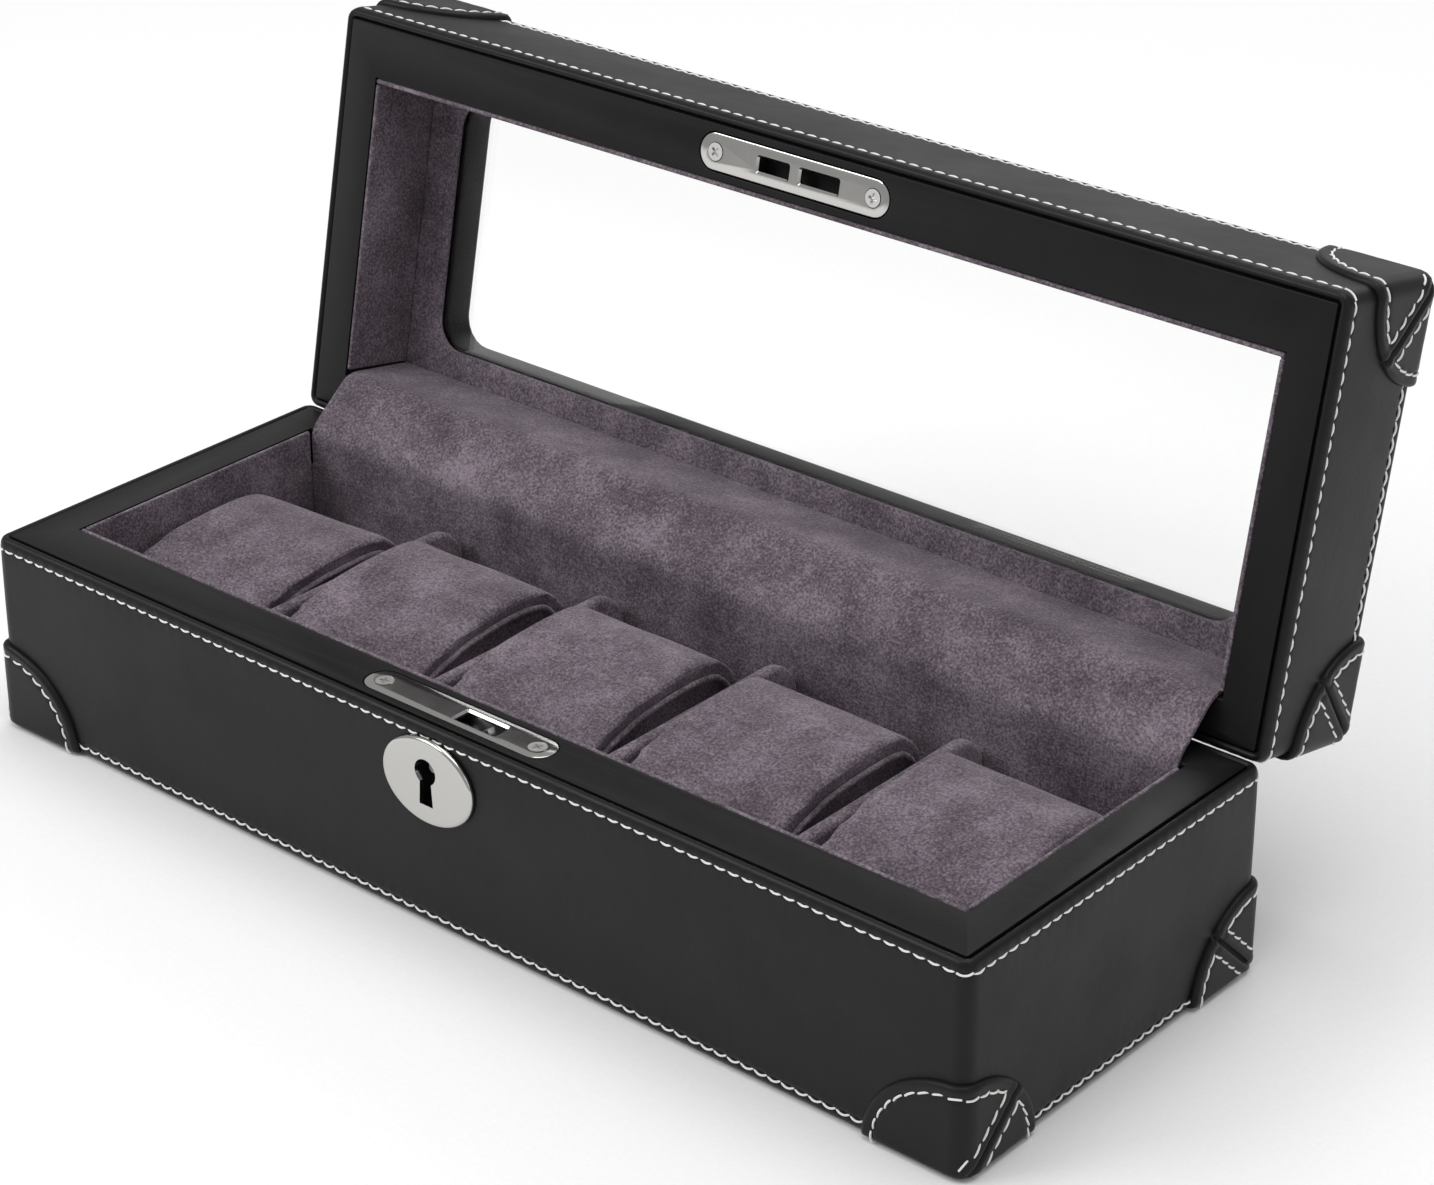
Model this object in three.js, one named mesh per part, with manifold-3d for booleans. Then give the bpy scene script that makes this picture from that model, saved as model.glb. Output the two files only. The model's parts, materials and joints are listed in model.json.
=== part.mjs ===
// A leather-covered watch box, standing with its windowed lid open.
//
// Millimetres. X runs along the box, the front faces -Y and +Z is up. The origin is the middle of the
// underside. Lid pieces are drawn where they lie with the lid closed, inside a group that turns them
// open about the hinge pins.

import * as THREE from "three";
import { mergeVertices } from "three/addons/utils/BufferGeometryUtils.js";
import Module from "manifold-3d";

const wasm = await Module();
wasm.setup();

// ---------------------------------------------------------------- driving dimensions

// The whole box
const boxLength = 315;
const boxDepth = 112.5;
const baseHeight = 55;
const lidHeight = 36.2;
const cornerRadius = 3.5;
const partingGap = 0.4; // between the two rims with the lid closed
const openAngle = 101.5; // where the hinges stop the lid
const clearance = 0.3; // between pieces that touch
const smallestRadius = 0.2;
const overcut = 1; // how far a cutting body runs past what it cuts

// Padded leather cover, and the rim frame inside its folded edge
const coverThickness = 2.7;
const coverEdgeRadius = 2.4;
const sideRim = 13.5; // outer face to cavity, at both ends
const frontRim = 16.9;
const backRim = 12.2;
const rimThickness = 1.2;

// Boards and linings
const undersideThickness = 1.3;
const bottomThickness = 5;
const liningThickness = 1.2;

// Compartments
const compartmentCount = 5;
const dividerThickness = 4;
const dividerDrop = 10; // rim down to the divider's top
const dividerEndRadius = 10;
const pillowSideGap = 1.9;
const pillowFrontGap = 1.3;
const pillowRearSpace = 12;
const pillowDrop = 2; // rim down to the crown
const pillowEdgeRadius = 2;
const pillowLowerRound = 12;
const pillowCrownShare = 1 / 3; // of the pillow's depth, from its back to its crown

// Lid window
const topFrameThickness = 6.8;
const windowEndBand = 12.2; // velvet between the cavity's edge and the opening
const windowFrontBand = 4.55;
const windowBackBand = 9.25;
const windowRadius = 8;
const windowLip = 1.5; // leather turned down through the opening
const windowChamfer = 1.6;
const glassThickness = 2;
const glassEdgeGap = 1;

// Hinge flap
const flapFoot = 10; // glued below the base rim
const flapRise = 0.5; // how far past each rim it turns

// Corner patches
const patchRadius = 25.5;
const patchThickness = 1.3;
const patchSeamWidth = 0.6;
const patchSeamDepth = 0.6;

// Butt hinges
const hingeFromEnd = 62.5; // end face to a hinge's middle
const hingeLength = 30;
const hingeInset = 0.87; // pin axis inside the back face
const hingeMiddleKnuckle = 10;
const hingeLeafWidth = 8;
const knuckleRadius = 2;
const pinRadius = 0.8;

// Lock
const plateLength = 60;
const plateWidth = 9.6;
const screwFromEnd = 5; // plate's end to the screw's middle
const screwHeadRadius = 2.3;
const screwShankRadius = 1.3;
const screwLength = 12;
const caseFromScrew = 3; // case's end to the screw's middle
const caseThickness = 7.8;
const caseWall = 0.8;
const caseBelowKeyhole = 3.5;
const boltPivotX = 1;
const boltPivotDrop = 6; // rim down to the pivot
const boltPivotRadius = 1.3;
const boltHubRadius = 3.2;
const boltThickness = 2.2;
const hookInnerRadius = 8.4;
const hookOuterRadius = 10.6;
const hookTipSink = 0.4; // the withdrawn tip below the face plate's top
const hookRootAngle = -66; // degrees from level, withdrawn
const hookWebWidth = 4;
const slotRoomBeside = 1.35; // from the hook to the slot's sides
const slotRoomBeyond = 1.9; // from the hook's sweep to the slot's far end
const slotBack = 0.7; // pivot to the slot's near end
const strikeRoomBeside = 0.7;
const strikeRoomBeyond = 2.5;
const strikeTipRoom = 1.7; // past the turned hook
const bridgeBack = 2.7; // the strike's bridge, either side of the pivot
const bridgeFront = 1.1;
const hookRoomBeyond = 1; // the lid board's hollow past the strike's holes
const keyX = -0.6;
const keyDrop = 11.2; // rim down to the key's axis
const keyholeRadius = 3.4;
const keyholeSlotWidth = 4.4;
const keyholeSlotReach = 9; // key's axis to the end of the slot
const keyPostRadius = 1.3;
const keyPostInset = 1; // its end behind the front face
const escutcheonLength = 29.4;
const escutcheonHeight = 22.8;
const escutcheonThickness = 1.4;
const escutcheonDrop = 2.8; // key's axis down to the oval's middle
const escutcheonEdge = 0.5;

// ---------------------------------------------------------------- places worked out from them

const lidBottom = baseHeight + partingGap;
const lidTop = lidBottom + lidHeight;
const hingeY = boxDepth / 2 - hingeInset;
const hingeZ = baseHeight + partingGap / 2;

const outside = { x0: -boxLength / 2, x1: boxLength / 2, y0: -boxDepth / 2, y1: boxDepth / 2 };
const coverInside = grow(outside, -coverThickness);
const core = grow(coverInside, -clearance); // outer faces of the boards
const cavity = {
  x0: outside.x0 + sideRim,
  x1: outside.x1 - sideRim,
  y0: outside.y0 + frontRim,
  y1: outside.y1 - backRim,
};
const liningOutside = grow(cavity, -clearance);
const room = grow(liningOutside, -liningThickness); // inner faces of the linings
const lockY = (core.y0 + cavity.y0) / 2; // middle of the front boards
const screwReach = plateLength / 2 - screwFromEnd;
const boltSlot = [boltPivotX - slotBack, boltPivotX + hookOuterRadius + slotRoomBeyond];
const boltSlotWidth = boltThickness + 2 * slotRoomBeside;
const strikeHoles = [
  [boltPivotX - hookOuterRadius - strikeTipRoom, boltPivotX - bridgeBack],
  [boltPivotX + bridgeFront, boltPivotX + hookOuterRadius + strikeRoomBeyond],
];
const strikeHoleWidth = boltThickness + 2 * strikeRoomBeside;
const coverInsideRadius = Math.max(cornerRadius - coverThickness, smallestRadius);
const coreRadius = Math.max(cornerRadius - coverThickness - clearance, smallestRadius);
const coverEdge = Math.min(coverEdgeRadius, coverThickness - clearance);

const bottomZ = Math.max(undersideThickness, patchThickness) + clearance;
const floorLiningZ = bottomZ + bottomThickness + clearance;
const floorZ = floorLiningZ + liningThickness;
const boardTop = baseHeight - rimThickness - clearance;
const lidBoardBottom = lidBottom + rimThickness + clearance;
const topFrameTop = lidTop - coverThickness - clearance;
const topFrameZ = topFrameTop - topFrameThickness;
const glassZ = topFrameZ - clearance - glassThickness;
const windowLiningZ = glassZ - clearance - liningThickness;
const windowOpening = {
  x0: cavity.x0 + windowEndBand,
  x1: cavity.x1 - windowEndBand,
  y0: cavity.y0 + windowFrontBand,
  y1: cavity.y1 - windowBackBand,
};

// ---------------------------------------------------------------- shapes and solids

// Where a flat outline's first axis, second axis and thickness point
const alongZ = new THREE.Matrix4();
const alongX = new THREE.Matrix4().makeBasis(
  new THREE.Vector3(0, 1, 0),
  new THREE.Vector3(0, 0, 1),
  new THREE.Vector3(1, 0, 0),
);
const alongY = new THREE.Matrix4().makeBasis(
  new THREE.Vector3(1, 0, 0),
  new THREE.Vector3(0, 0, 1),
  new THREE.Vector3(0, -1, 0),
);

function grow(area, by) {
  return { x0: area.x0 - by, x1: area.x1 + by, y0: area.y0 - by, y1: area.y1 + by };
}

function rectangle({ x0, x1, y0, y1 }, radius = 0) {
  const shape = new THREE.Shape();
  if (radius === 0) {
    return shape.moveTo(x0, y0).lineTo(x1, y0).lineTo(x1, y1).lineTo(x0, y1);
  }
  const quarter = Math.PI / 2;
  shape.absarc(x1 - radius, y0 + radius, radius, -quarter, 0);
  shape.absarc(x1 - radius, y1 - radius, radius, 0, quarter);
  shape.absarc(x0 + radius, y1 - radius, radius, quarter, 2 * quarter);
  shape.absarc(x0 + radius, y0 + radius, radius, 2 * quarter, 3 * quarter);
  return shape;
}

// A strip of even thickness along a line of points
function ribbon(points, thickness) {
  const sides = points.map((point, i) => {
    const before = points[Math.max(i - 1, 0)];
    const after = points[Math.min(i + 1, points.length - 1)];
    const arriving = point.clone().sub(i ? before : point).normalize();
    const leaving = after.clone().sub(point).normalize();
    const along = arriving.clone().add(leaving).normalize();
    const spread = 1 / along.dot(i ? arriving : leaving);
    return new THREE.Vector2(-along.y, along.x).multiplyScalar((thickness / 2) * spread);
  });
  const left = points.map((point, i) => point.clone().add(sides[i]));
  const right = points.map((point, i) => point.clone().sub(sides[i]));
  return new THREE.Shape([...right, ...left.reverse()]);
}

const mergeDistance = 1e-4;

// A closed body, without the slivers that merging leaves
function solid(geometry) {
  geometry.deleteAttribute("normal");
  geometry.deleteAttribute("uv");
  const merged = mergeVertices(geometry, mergeDistance);
  const corners = merged.index.array;
  const kept = [];
  for (let i = 0; i < corners.length; i += 3) {
    const [a, b, c] = corners.slice(i, i + 3);
    if (a !== b && b !== c && c !== a) kept.push(a, b, c);
  }
  return new wasm.Manifold(
    new wasm.Mesh({
      numProp: 3,
      vertProperties: merged.attributes.position.array,
      triVerts: new Uint32Array(kept),
    }),
  );
}

function block(x0, x1, y0, y1, z0, z1) {
  const geometry = new THREE.BoxGeometry(x1 - x0, y1 - y0, z1 - z0);
  return solid(geometry.translate((x0 + x1) / 2, (y0 + y1) / 2, (z0 + z1) / 2));
}

// Straight steps in an outline's quarter turn, and across a rounded edge
const curveSteps = 4;
const roundEdgeSteps = 2;
const ovalSteps = 28;

// An outline given thickness between two places on an axis, with its edges rounded by edge
function extrude(shape, axis, from, to, edge = 0, edgeSteps = roundEdgeSteps) {
  const geometry = new THREE.ExtrudeGeometry(shape, {
    depth: to - from - 2 * edge,
    curveSegments: curveSteps,
    bevelEnabled: edge > 0,
    bevelThickness: edge,
    bevelSize: edge,
    bevelOffset: -edge,
    bevelSegments: edgeSteps,
  });
  const start = axis === alongY ? -to + edge : from + edge;
  return solid(geometry.translate(0, 0, start).applyMatrix4(axis));
}

function slab(area, z0, z1, radius = 0, edge = 0) {
  return extrude(rectangle(area, radius), alongZ, z0, z1, edge);
}

// Sides of a round surface
const smallSides = 12;
const keyholeSides = 16;
const patchSides = 32;

function rodAlongX(y, z, radius, x0, x1) {
  const geometry = new THREE.CylinderGeometry(radius, radius, x1 - x0, smallSides);
  return solid(geometry.rotateZ(Math.PI / 2).translate((x0 + x1) / 2, y, z));
}

function rodAlongY(x, z, radius, y0, y1, sides = keyholeSides) {
  const geometry = new THREE.CylinderGeometry(radius, radius, y1 - y0, sides);
  return solid(geometry.translate(x, (y0 + y1) / 2, z));
}

const material = (color, roughness, metalness = 0) =>
  new THREE.MeshStandardMaterial({ color, roughness, metalness });
const leather = material(0x262626, 0.45);
const velvet = material(0x5f5562, 0.95);
const board = material(0xa88a64, 0.8);
const felt = material(0x1c1c1e, 0.95);
const nickel = material(0xd8d8d6, 0.2, 1);
const steel = material(0xa9abad, 0.35, 1);
const glass = material(0xeef3f2, 0.05);
glass.transparent = true;
glass.opacity = 0.3;

const watchBox = new THREE.Group();
const lid = new THREE.Group();
const lidPivot = new THREE.Group();
lidPivot.position.set(0, hingeY, hingeZ);
lidPivot.rotation.x = -THREE.MathUtils.degToRad(openAngle);
lid.position.set(0, -hingeY, -hingeZ);
lidPivot.add(lid);
watchBox.add(lidPivot);

function addPiece(name, body, finish, group = watchBox) {
  const { vertProperties, triVerts } = body.getMesh();
  const geometry = new THREE.BufferGeometry();
  geometry.setAttribute("position", new THREE.BufferAttribute(vertProperties, 3));
  geometry.setIndex(new THREE.BufferAttribute(triVerts, 1));
  geometry.computeVertexNormals();
  const mesh = new THREE.Mesh(geometry, finish);
  mesh.name = name;
  group.add(mesh);
}

// ---------------------------------------------------------------- cuts shared by several pieces

// The keyhole, through whatever lies between two depths
function keyhole(y0, y1, extra = 0) {
  const z = baseHeight - keyDrop;
  const halfSlot = keyholeSlotWidth / 2 + extra;
  const slot = block(keyX - halfSlot, keyX + halfSlot, y0, y1, z - keyholeSlotReach - extra, z);
  return rodAlongY(keyX, z, keyholeRadius + extra, y0, y1).add(slot);
}

// A plate's outline with round ends, larger all round by extra
function plateOutline(extra = 0) {
  const area = {
    x0: -plateLength / 2,
    x1: plateLength / 2,
    y0: lockY - plateWidth / 2,
    y1: lockY + plateWidth / 2,
  };
  return rectangle(grow(area, extra), plateWidth / 2 + extra);
}

// A countersunk screw with its head flush at z. It points down, or up with direction 1.
function screw(x, z, direction, extra = 0) {
  const profile = [
    [0, -screwLength - extra],
    [screwShankRadius + extra, -screwLength - extra],
    [screwShankRadius + extra, -rimThickness],
    [screwHeadRadius + extra, 0],
    [0, 0],
  ].map(([radius, along]) => new THREE.Vector2(radius, along));
  const geometry = new THREE.LatheGeometry(profile, smallSides).rotateX((-direction * Math.PI) / 2);
  return solid(geometry.translate(x, lockY, z));
}

const screwPlaces = [-screwReach, screwReach];
const hingePlaces = [outside.x0 + hingeFromEnd, outside.x1 - hingeFromEnd];
const hingeRoomLength = hingeLength + 2 * clearance;

function withoutScrews(body, z, direction) {
  return screwPlaces.reduce((left, x) => left.subtract(screw(x, z, direction, clearance)), body);
}

// Room for both hinges' knuckles
function withoutKnuckles(body) {
  return hingePlaces.reduce((left, x) => {
    const ends = [x - hingeRoomLength / 2, x + hingeRoomLength / 2];
    return left.subtract(rodAlongX(hingeY, hingeZ, knuckleRadius + clearance, ...ends));
  }, body);
}

// Room for both hinges in a rim and its cover, between two heights
function withoutHinges(body, z0, z1) {
  const front = hingeY - hingeLeafWidth - clearance;
  return hingePlaces.reduce((left, x) => {
    const ends = [x - hingeRoomLength / 2, x + hingeRoomLength / 2];
    return left.subtract(block(...ends, front, boxDepth, z0, z1));
  }, withoutKnuckles(body));
}

// ---------------------------------------------------------------- leather covers and rim frames

const cornerSides = [
  ["front_left", -1, -1],
  ["front_right", 1, -1],
  ["back_left", -1, 1],
  ["back_right", 1, 1],
];

function baseCover() {
  let cover = slab(outside, 0, baseHeight, cornerRadius, coverEdge);
  cover = cover.subtract(slab(coverInside, -overcut, baseHeight + overcut, coverInsideRadius));
  cover = withoutPatches(cover);
  cover = withoutHinges(cover, baseHeight - rimThickness - clearance, lidTop);
  return cover.subtract(keyhole(outside.y0 - overcut, core.y0, clearance));
}

// The underside and the cover's lower edge stop short of the corner patches
function withoutPatches(body) {
  return cornerSides.reduce((left, [, sideX, sideY]) => {
    const geometry = new THREE.CylinderGeometry(
      patchRadius + clearance,
      patchRadius + clearance,
      2 * bottomZ,
      patchSides,
    );
    geometry.rotateX(Math.PI / 2);
    geometry.translate((sideX * boxLength) / 2, (sideY * boxDepth) / 2, 0);
    return left.subtract(solid(geometry));
  }, body);
}

function lidCover() {
  const turnDown = grow(windowOpening, windowLip);
  let cover = slab(outside, lidBottom, lidTop, cornerRadius, coverEdge);
  const hollow = slab(coverInside, lidBottom - overcut, lidTop - coverThickness, coverInsideRadius);
  const turnDownTop = lidTop - coverThickness / 2;
  cover = cover.subtract(hollow).add(slab(turnDown, topFrameZ, turnDownTop, windowRadius + windowLip));
  cover = cover.subtract(slab(windowOpening, lidBottom, lidTop + overcut, windowRadius));
  const flare = rectangle(grow(windowOpening, windowChamfer), windowRadius + windowChamfer);
  const flareBottom = lidTop - windowChamfer;
  cover = cover.subtract(extrude(flare, alongZ, flareBottom, lidTop + 2 * windowChamfer, windowChamfer, 1));
  return withoutHinges(cover, 0, lidBoardBottom);
}

function rimFrame(z0, z1) {
  let frame = slab(core, z0, z1, coreRadius);
  frame = frame.subtract(slab(cavity, z0 - overcut, z1 + overcut));
  frame = frame.subtract(extrude(plateOutline(clearance), alongZ, z0 - overcut, z1 + overcut));
  return withoutHinges(frame, z0 - overcut, z1 + overcut);
}

addPiece("base_cover", baseCover(), leather);
addPiece("base_rim", rimFrame(baseHeight - rimThickness, baseHeight), leather);
addPiece("lid_cover", lidCover(), leather, lid);
addPiece("lid_rim", rimFrame(lidBottom, lidBottom + rimThickness), leather, lid);

// ---------------------------------------------------------------- corner patches

// A patch wraps one corner: a round-edged piece on each of three faces, with a sewn dart on the end
function patchBlank(sideX, sideY, cornerZ, outer, inner) {
  const centre = [(sideX * boxLength) / 2, (sideY * boxDepth) / 2, cornerZ];
  const reach = new THREE.SphereGeometry(patchRadius, patchSides, patchSides / 2).translate(...centre);
  return outer.subtract(inner).intersect(solid(reach));
}

function patchSeam(sideX, sideY, cornerZ, upward) {
  const face = sideX * (boxLength / 2 + clearance + patchThickness);
  const geometry = new THREE.BoxGeometry(2 * patchSeamDepth, 4 * patchRadius, patchSeamWidth);
  geometry.rotateX((sideY * -upward * Math.PI) / 4);
  return solid(geometry.translate(face, (sideY * boxDepth) / 2, cornerZ));
}

const standOff = clearance + patchThickness;

function basePatch(sideX, sideY) {
  const outer = slab(grow(outside, standOff), 0, baseHeight, cornerRadius + standOff, coverEdge);
  const wrapped = slab(
    grow(outside, clearance),
    -clearance,
    2 * baseHeight,
    cornerRadius + clearance,
    coverEdge + clearance,
  );
  const aboveLeaf = slab(grow(outside, boxDepth), patchThickness, 3 * baseHeight);
  const blank = patchBlank(sideX, sideY, 0, outer, wrapped.intersect(aboveLeaf));
  return blank.subtract(patchSeam(sideX, sideY, 0, 1));
}

function lidPatch(sideX, sideY) {
  const outer = slab(
    grow(outside, standOff),
    lidBottom - lidHeight,
    lidTop + standOff,
    cornerRadius + standOff,
    coverEdge + standOff,
  );
  const inner = slab(
    grow(outside, clearance),
    lidBottom - 2 * lidHeight,
    lidTop + clearance,
    cornerRadius + clearance,
    coverEdge + clearance,
  );
  return patchBlank(sideX, sideY, lidTop, outer, inner).subtract(patchSeam(sideX, sideY, lidTop, -1));
}

for (const [corner, sideX, sideY] of cornerSides) {
  addPiece(`base_patch_${corner}`, basePatch(sideX, sideY), leather);
  addPiece(`lid_patch_${corner}`, lidPatch(sideX, sideY), leather, lid);
}

// ---------------------------------------------------------------- boards

// Four walls between two heights. The front and back run the full length.
function wallBoards(z0, z1) {
  const whole = slab(core, z0, z1, coreRadius);
  const ends = [z0 - overcut, z1 + overcut];
  const part = (x0, x1, y0, y1) => whole.intersect(block(x0, x1, y0, y1, ...ends));
  const far = boxLength;
  return {
    front: part(-far, far, -far, cavity.y0),
    back: withoutKnuckles(part(-far, far, cavity.y1, far)),
    left: part(-far, cavity.x0, cavity.y0 + clearance, cavity.y1 - clearance),
    right: part(cavity.x1, far, cavity.y0 + clearance, cavity.y1 - clearance),
  };
}

const lockCaseTop = boardTop;
const lockCaseBottom = baseHeight - keyDrop - keyholeSlotReach - caseBelowKeyhole;
const lockCaseArea = {
  x0: caseFromScrew - screwReach,
  x1: screwReach - caseFromScrew,
  y0: lockY - caseThickness / 2,
  y1: lockY + caseThickness / 2,
};

const baseWalls = wallBoards(floorLiningZ, boardTop);
const lockMortise = slab(grow(lockCaseArea, clearance), lockCaseBottom - clearance, baseHeight);
baseWalls.front = withoutScrews(baseWalls.front, baseHeight, -1)
  .subtract(lockMortise)
  .subtract(keyhole(outside.y0, lockY, clearance));

const lidWalls = wallBoards(lidBoardBottom, topFrameZ - clearance);
const hookRoom = block(
  strikeHoles[0][0] - hookRoomBeyond,
  strikeHoles[1][1] + hookRoomBeyond,
  lockY - strikeHoleWidth / 2 - hookRoomBeyond,
  lockY + strikeHoleWidth / 2 + hookRoomBeyond,
  lidBottom,
  baseHeight - boltPivotDrop + hookOuterRadius + hookRoomBeyond,
);
lidWalls.front = withoutScrews(lidWalls.front, lidBottom, 1).subtract(hookRoom);

for (const side of ["front", "back", "left", "right"]) {
  addPiece(`base_board_${side}`, baseWalls[side], board);
  addPiece(`lid_board_${side}`, lidWalls[side], board, lid);
}

addPiece("base_board_bottom", slab(core, bottomZ, bottomZ + bottomThickness, coreRadius), board);
addPiece("base_underside", withoutPatches(slab(core, 0, undersideThickness, coreRadius)), felt);

const frameOpening = grow(windowOpening, windowLip + clearance);
const frameOpeningRadius = windowRadius + windowLip + clearance;
const topFrame = slab(core, topFrameZ, topFrameTop, coreRadius).subtract(
  slab(frameOpening, topFrameZ - overcut, lidTop, frameOpeningRadius),
);
addPiece("lid_board_top", topFrame, board, lid);

// ---------------------------------------------------------------- linings

const sideLinings = {
  left: [liningOutside.x0, room.x0],
  right: [room.x1, liningOutside.x1],
};
const lidLiningTop = windowLiningZ - clearance;
for (const [side, [x0, x1]] of Object.entries(sideLinings)) {
  const ends = [room.y0 + clearance, room.y1 - clearance];
  const baseLining = block(x0, x1, ...ends, floorZ + clearance, baseHeight);
  addPiece(`base_lining_${side}`, baseLining, velvet);
  addPiece(`lid_lining_${side}`, block(x0, x1, ...ends, lidBottom, lidLiningTop), velvet, lid);
}

const flapFootZ = baseHeight - flapFoot;
const { x0: liningX0, x1: liningX1 } = liningOutside;
const frontLining = block(liningX0, liningX1, liningOutside.y0, room.y0, floorZ + clearance, baseHeight);
const backLining = block(
  liningX0,
  liningX1,
  room.y1,
  liningOutside.y1,
  floorZ + clearance,
  flapFootZ - clearance,
);
const lidFrontLining = block(
  liningX0,
  liningX1,
  liningOutside.y0,
  room.y0,
  lidBottom,
  lidLiningTop,
);
addPiece("base_lining_front", frontLining, velvet);
addPiece("base_lining_back", backLining, velvet);
addPiece("base_lining_floor", slab(liningOutside, floorLiningZ, floorZ), velvet);
addPiece("lid_lining_front", lidFrontLining, velvet, lid);

const windowLining = slab(liningOutside, windowLiningZ, windowLiningZ + liningThickness).subtract(
  slab(windowOpening, lidBottom, lidTop, windowRadius),
);
addPiece("lid_lining_window", windowLining, velvet, lid);

// ---------------------------------------------------------------- window glass

const pane = slab(grow(cavity, -glassEdgeGap), glassZ, glassZ + glassThickness);
addPiece("window_glass", pane, glass, lid);

// ---------------------------------------------------------------- dividers and pillows

const roomLength = room.x1 - room.x0;
const compartmentWidth = (roomLength - (compartmentCount - 1) * dividerThickness) / compartmentCount;
const pitch = compartmentWidth + dividerThickness;

function dividerOutline() {
  const front = room.y0 + clearance;
  const back = room.y1 - clearance;
  const low = floorZ + clearance;
  const top = baseHeight - dividerDrop;
  const radius = dividerEndRadius;
  const shape = new THREE.Shape().moveTo(front, low).lineTo(back, low);
  shape.absarc(back - radius, top - radius, radius, 0, Math.PI / 2);
  shape.absarc(front + radius, top - radius, radius, Math.PI / 2, Math.PI);
  return shape;
}

function pillowOutline() {
  const front = room.y0 + pillowFrontGap;
  const back = room.y1 - pillowRearSpace;
  const low = floorZ + clearance;
  const top = baseHeight - pillowDrop;
  const round = pillowLowerRound;
  const peak = back - (back - front) * pillowCrownShare;
  const shape = new THREE.Shape().moveTo(front + round, low).lineTo(back - round, low);
  shape.quadraticCurveTo(back, low, back, low + round);
  shape.bezierCurveTo(back, top - round / 2, back - round / 2, top, peak, top);
  shape.bezierCurveTo(peak - 2 * round, top, front, top - round / 2, front, low + round);
  shape.quadraticCurveTo(front, low, front + round, low);
  return shape;
}

for (let i = 1; i < compartmentCount; i += 1) {
  const x0 = room.x0 + i * pitch - dividerThickness;
  addPiece(`divider_${i}`, extrude(dividerOutline(), alongX, x0, x0 + dividerThickness), velvet);
}
for (let i = 0; i < compartmentCount; i += 1) {
  const x0 = room.x0 + i * pitch + pillowSideGap;
  const x1 = room.x0 + i * pitch + compartmentWidth - pillowSideGap;
  addPiece(`pillow_${i + 1}`, extrude(pillowOutline(), alongX, x0, x1, pillowEdgeRadius), velvet);
}

// ---------------------------------------------------------------- hinge flap

// A point of the closed lid, in Y and Z, moved to where the open lid holds it
function onOpenLid(y, z) {
  const hinge = new THREE.Vector2(hingeY, hingeZ);
  return new THREE.Vector2(y, z).rotateAround(hinge, -THREE.MathUtils.degToRad(openAngle));
}

const flapY = (room.y1 + liningOutside.y1) / 2;
const flapLine = [
  new THREE.Vector2(flapY, flapFootZ),
  new THREE.Vector2(flapY, baseHeight + flapRise),
  onOpenLid(flapY, lidBottom - flapRise),
  onOpenLid(flapY, lidLiningTop),
];
const flap = extrude(
  ribbon(flapLine, liningThickness),
  alongX,
  room.x0 + clearance,
  room.x1 - clearance,
);
addPiece("hinge_flap", flap, velvet);

// ---------------------------------------------------------------- butt hinges

// One leaf with its own knuckles, for the hinge whose middle is at x
function hingeLeaf(x, z0, z1, knuckles) {
  const bore = pinRadius + clearance;
  const plateEdge = hingeY - knuckleRadius - clearance;
  let leaf = block(x - hingeLength / 2, x + hingeLength / 2, hingeY - hingeLeafWidth, plateEdge, z0, z1);
  for (const [from, to] of knuckles) {
    const tab = block(x + from, x + to, plateEdge - clearance, hingeY, z0, z1);
    leaf = leaf.add(tab).add(rodAlongX(hingeY, hingeZ, knuckleRadius, x + from, x + to));
  }
  return leaf.subtract(rodAlongX(hingeY, hingeZ, bore, x - hingeLength, x + hingeLength));
}

const middleEnd = (hingeMiddleKnuckle - clearance) / 2;
const outerStart = (hingeMiddleKnuckle + clearance) / 2;
const outerKnuckles = [
  [-hingeLength / 2, -outerStart],
  [outerStart, hingeLength / 2],
];
for (const [side, x] of [
  ["left", hingePlaces[0]],
  ["right", hingePlaces[1]],
]) {
  const baseLeaf = hingeLeaf(x, baseHeight - rimThickness, baseHeight, outerKnuckles);
  const lidLeaf = hingeLeaf(x, lidBottom, lidBottom + rimThickness, [[-middleEnd, middleEnd]]);
  const pin = rodAlongX(hingeY, hingeZ, pinRadius, x - hingeLength / 2, x + hingeLength / 2);
  addPiece(`hinge_${side}_base_leaf`, baseLeaf, steel);
  addPiece(`hinge_${side}_lid_leaf`, lidLeaf, steel, lid);
  addPiece(`hinge_${side}_pin`, pin, steel);
}

// ---------------------------------------------------------------- lock

const slotAcross = (x0, x1, width, z0, z1) => block(x0, x1, lockY - width / 2, lockY + width / 2, z0, z1);

function lockFacePlate() {
  const z0 = baseHeight - rimThickness;
  const plate = extrude(plateOutline(), alongZ, z0, baseHeight);
  const slot = slotAcross(...boltSlot, boltSlotWidth, z0 - overcut, baseHeight + overcut);
  return withoutScrews(plate.subtract(slot), baseHeight, -1);
}

function strikePlate() {
  const z1 = lidBottom + rimThickness;
  let plate = extrude(plateOutline(), alongZ, lidBottom, z1);
  for (const [x0, x1] of strikeHoles) {
    plate = plate.subtract(slotAcross(x0, x1, strikeHoleWidth, lidBottom - overcut, z1 + overcut));
  }
  return withoutScrews(plate, lidBottom, 1);
}

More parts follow.
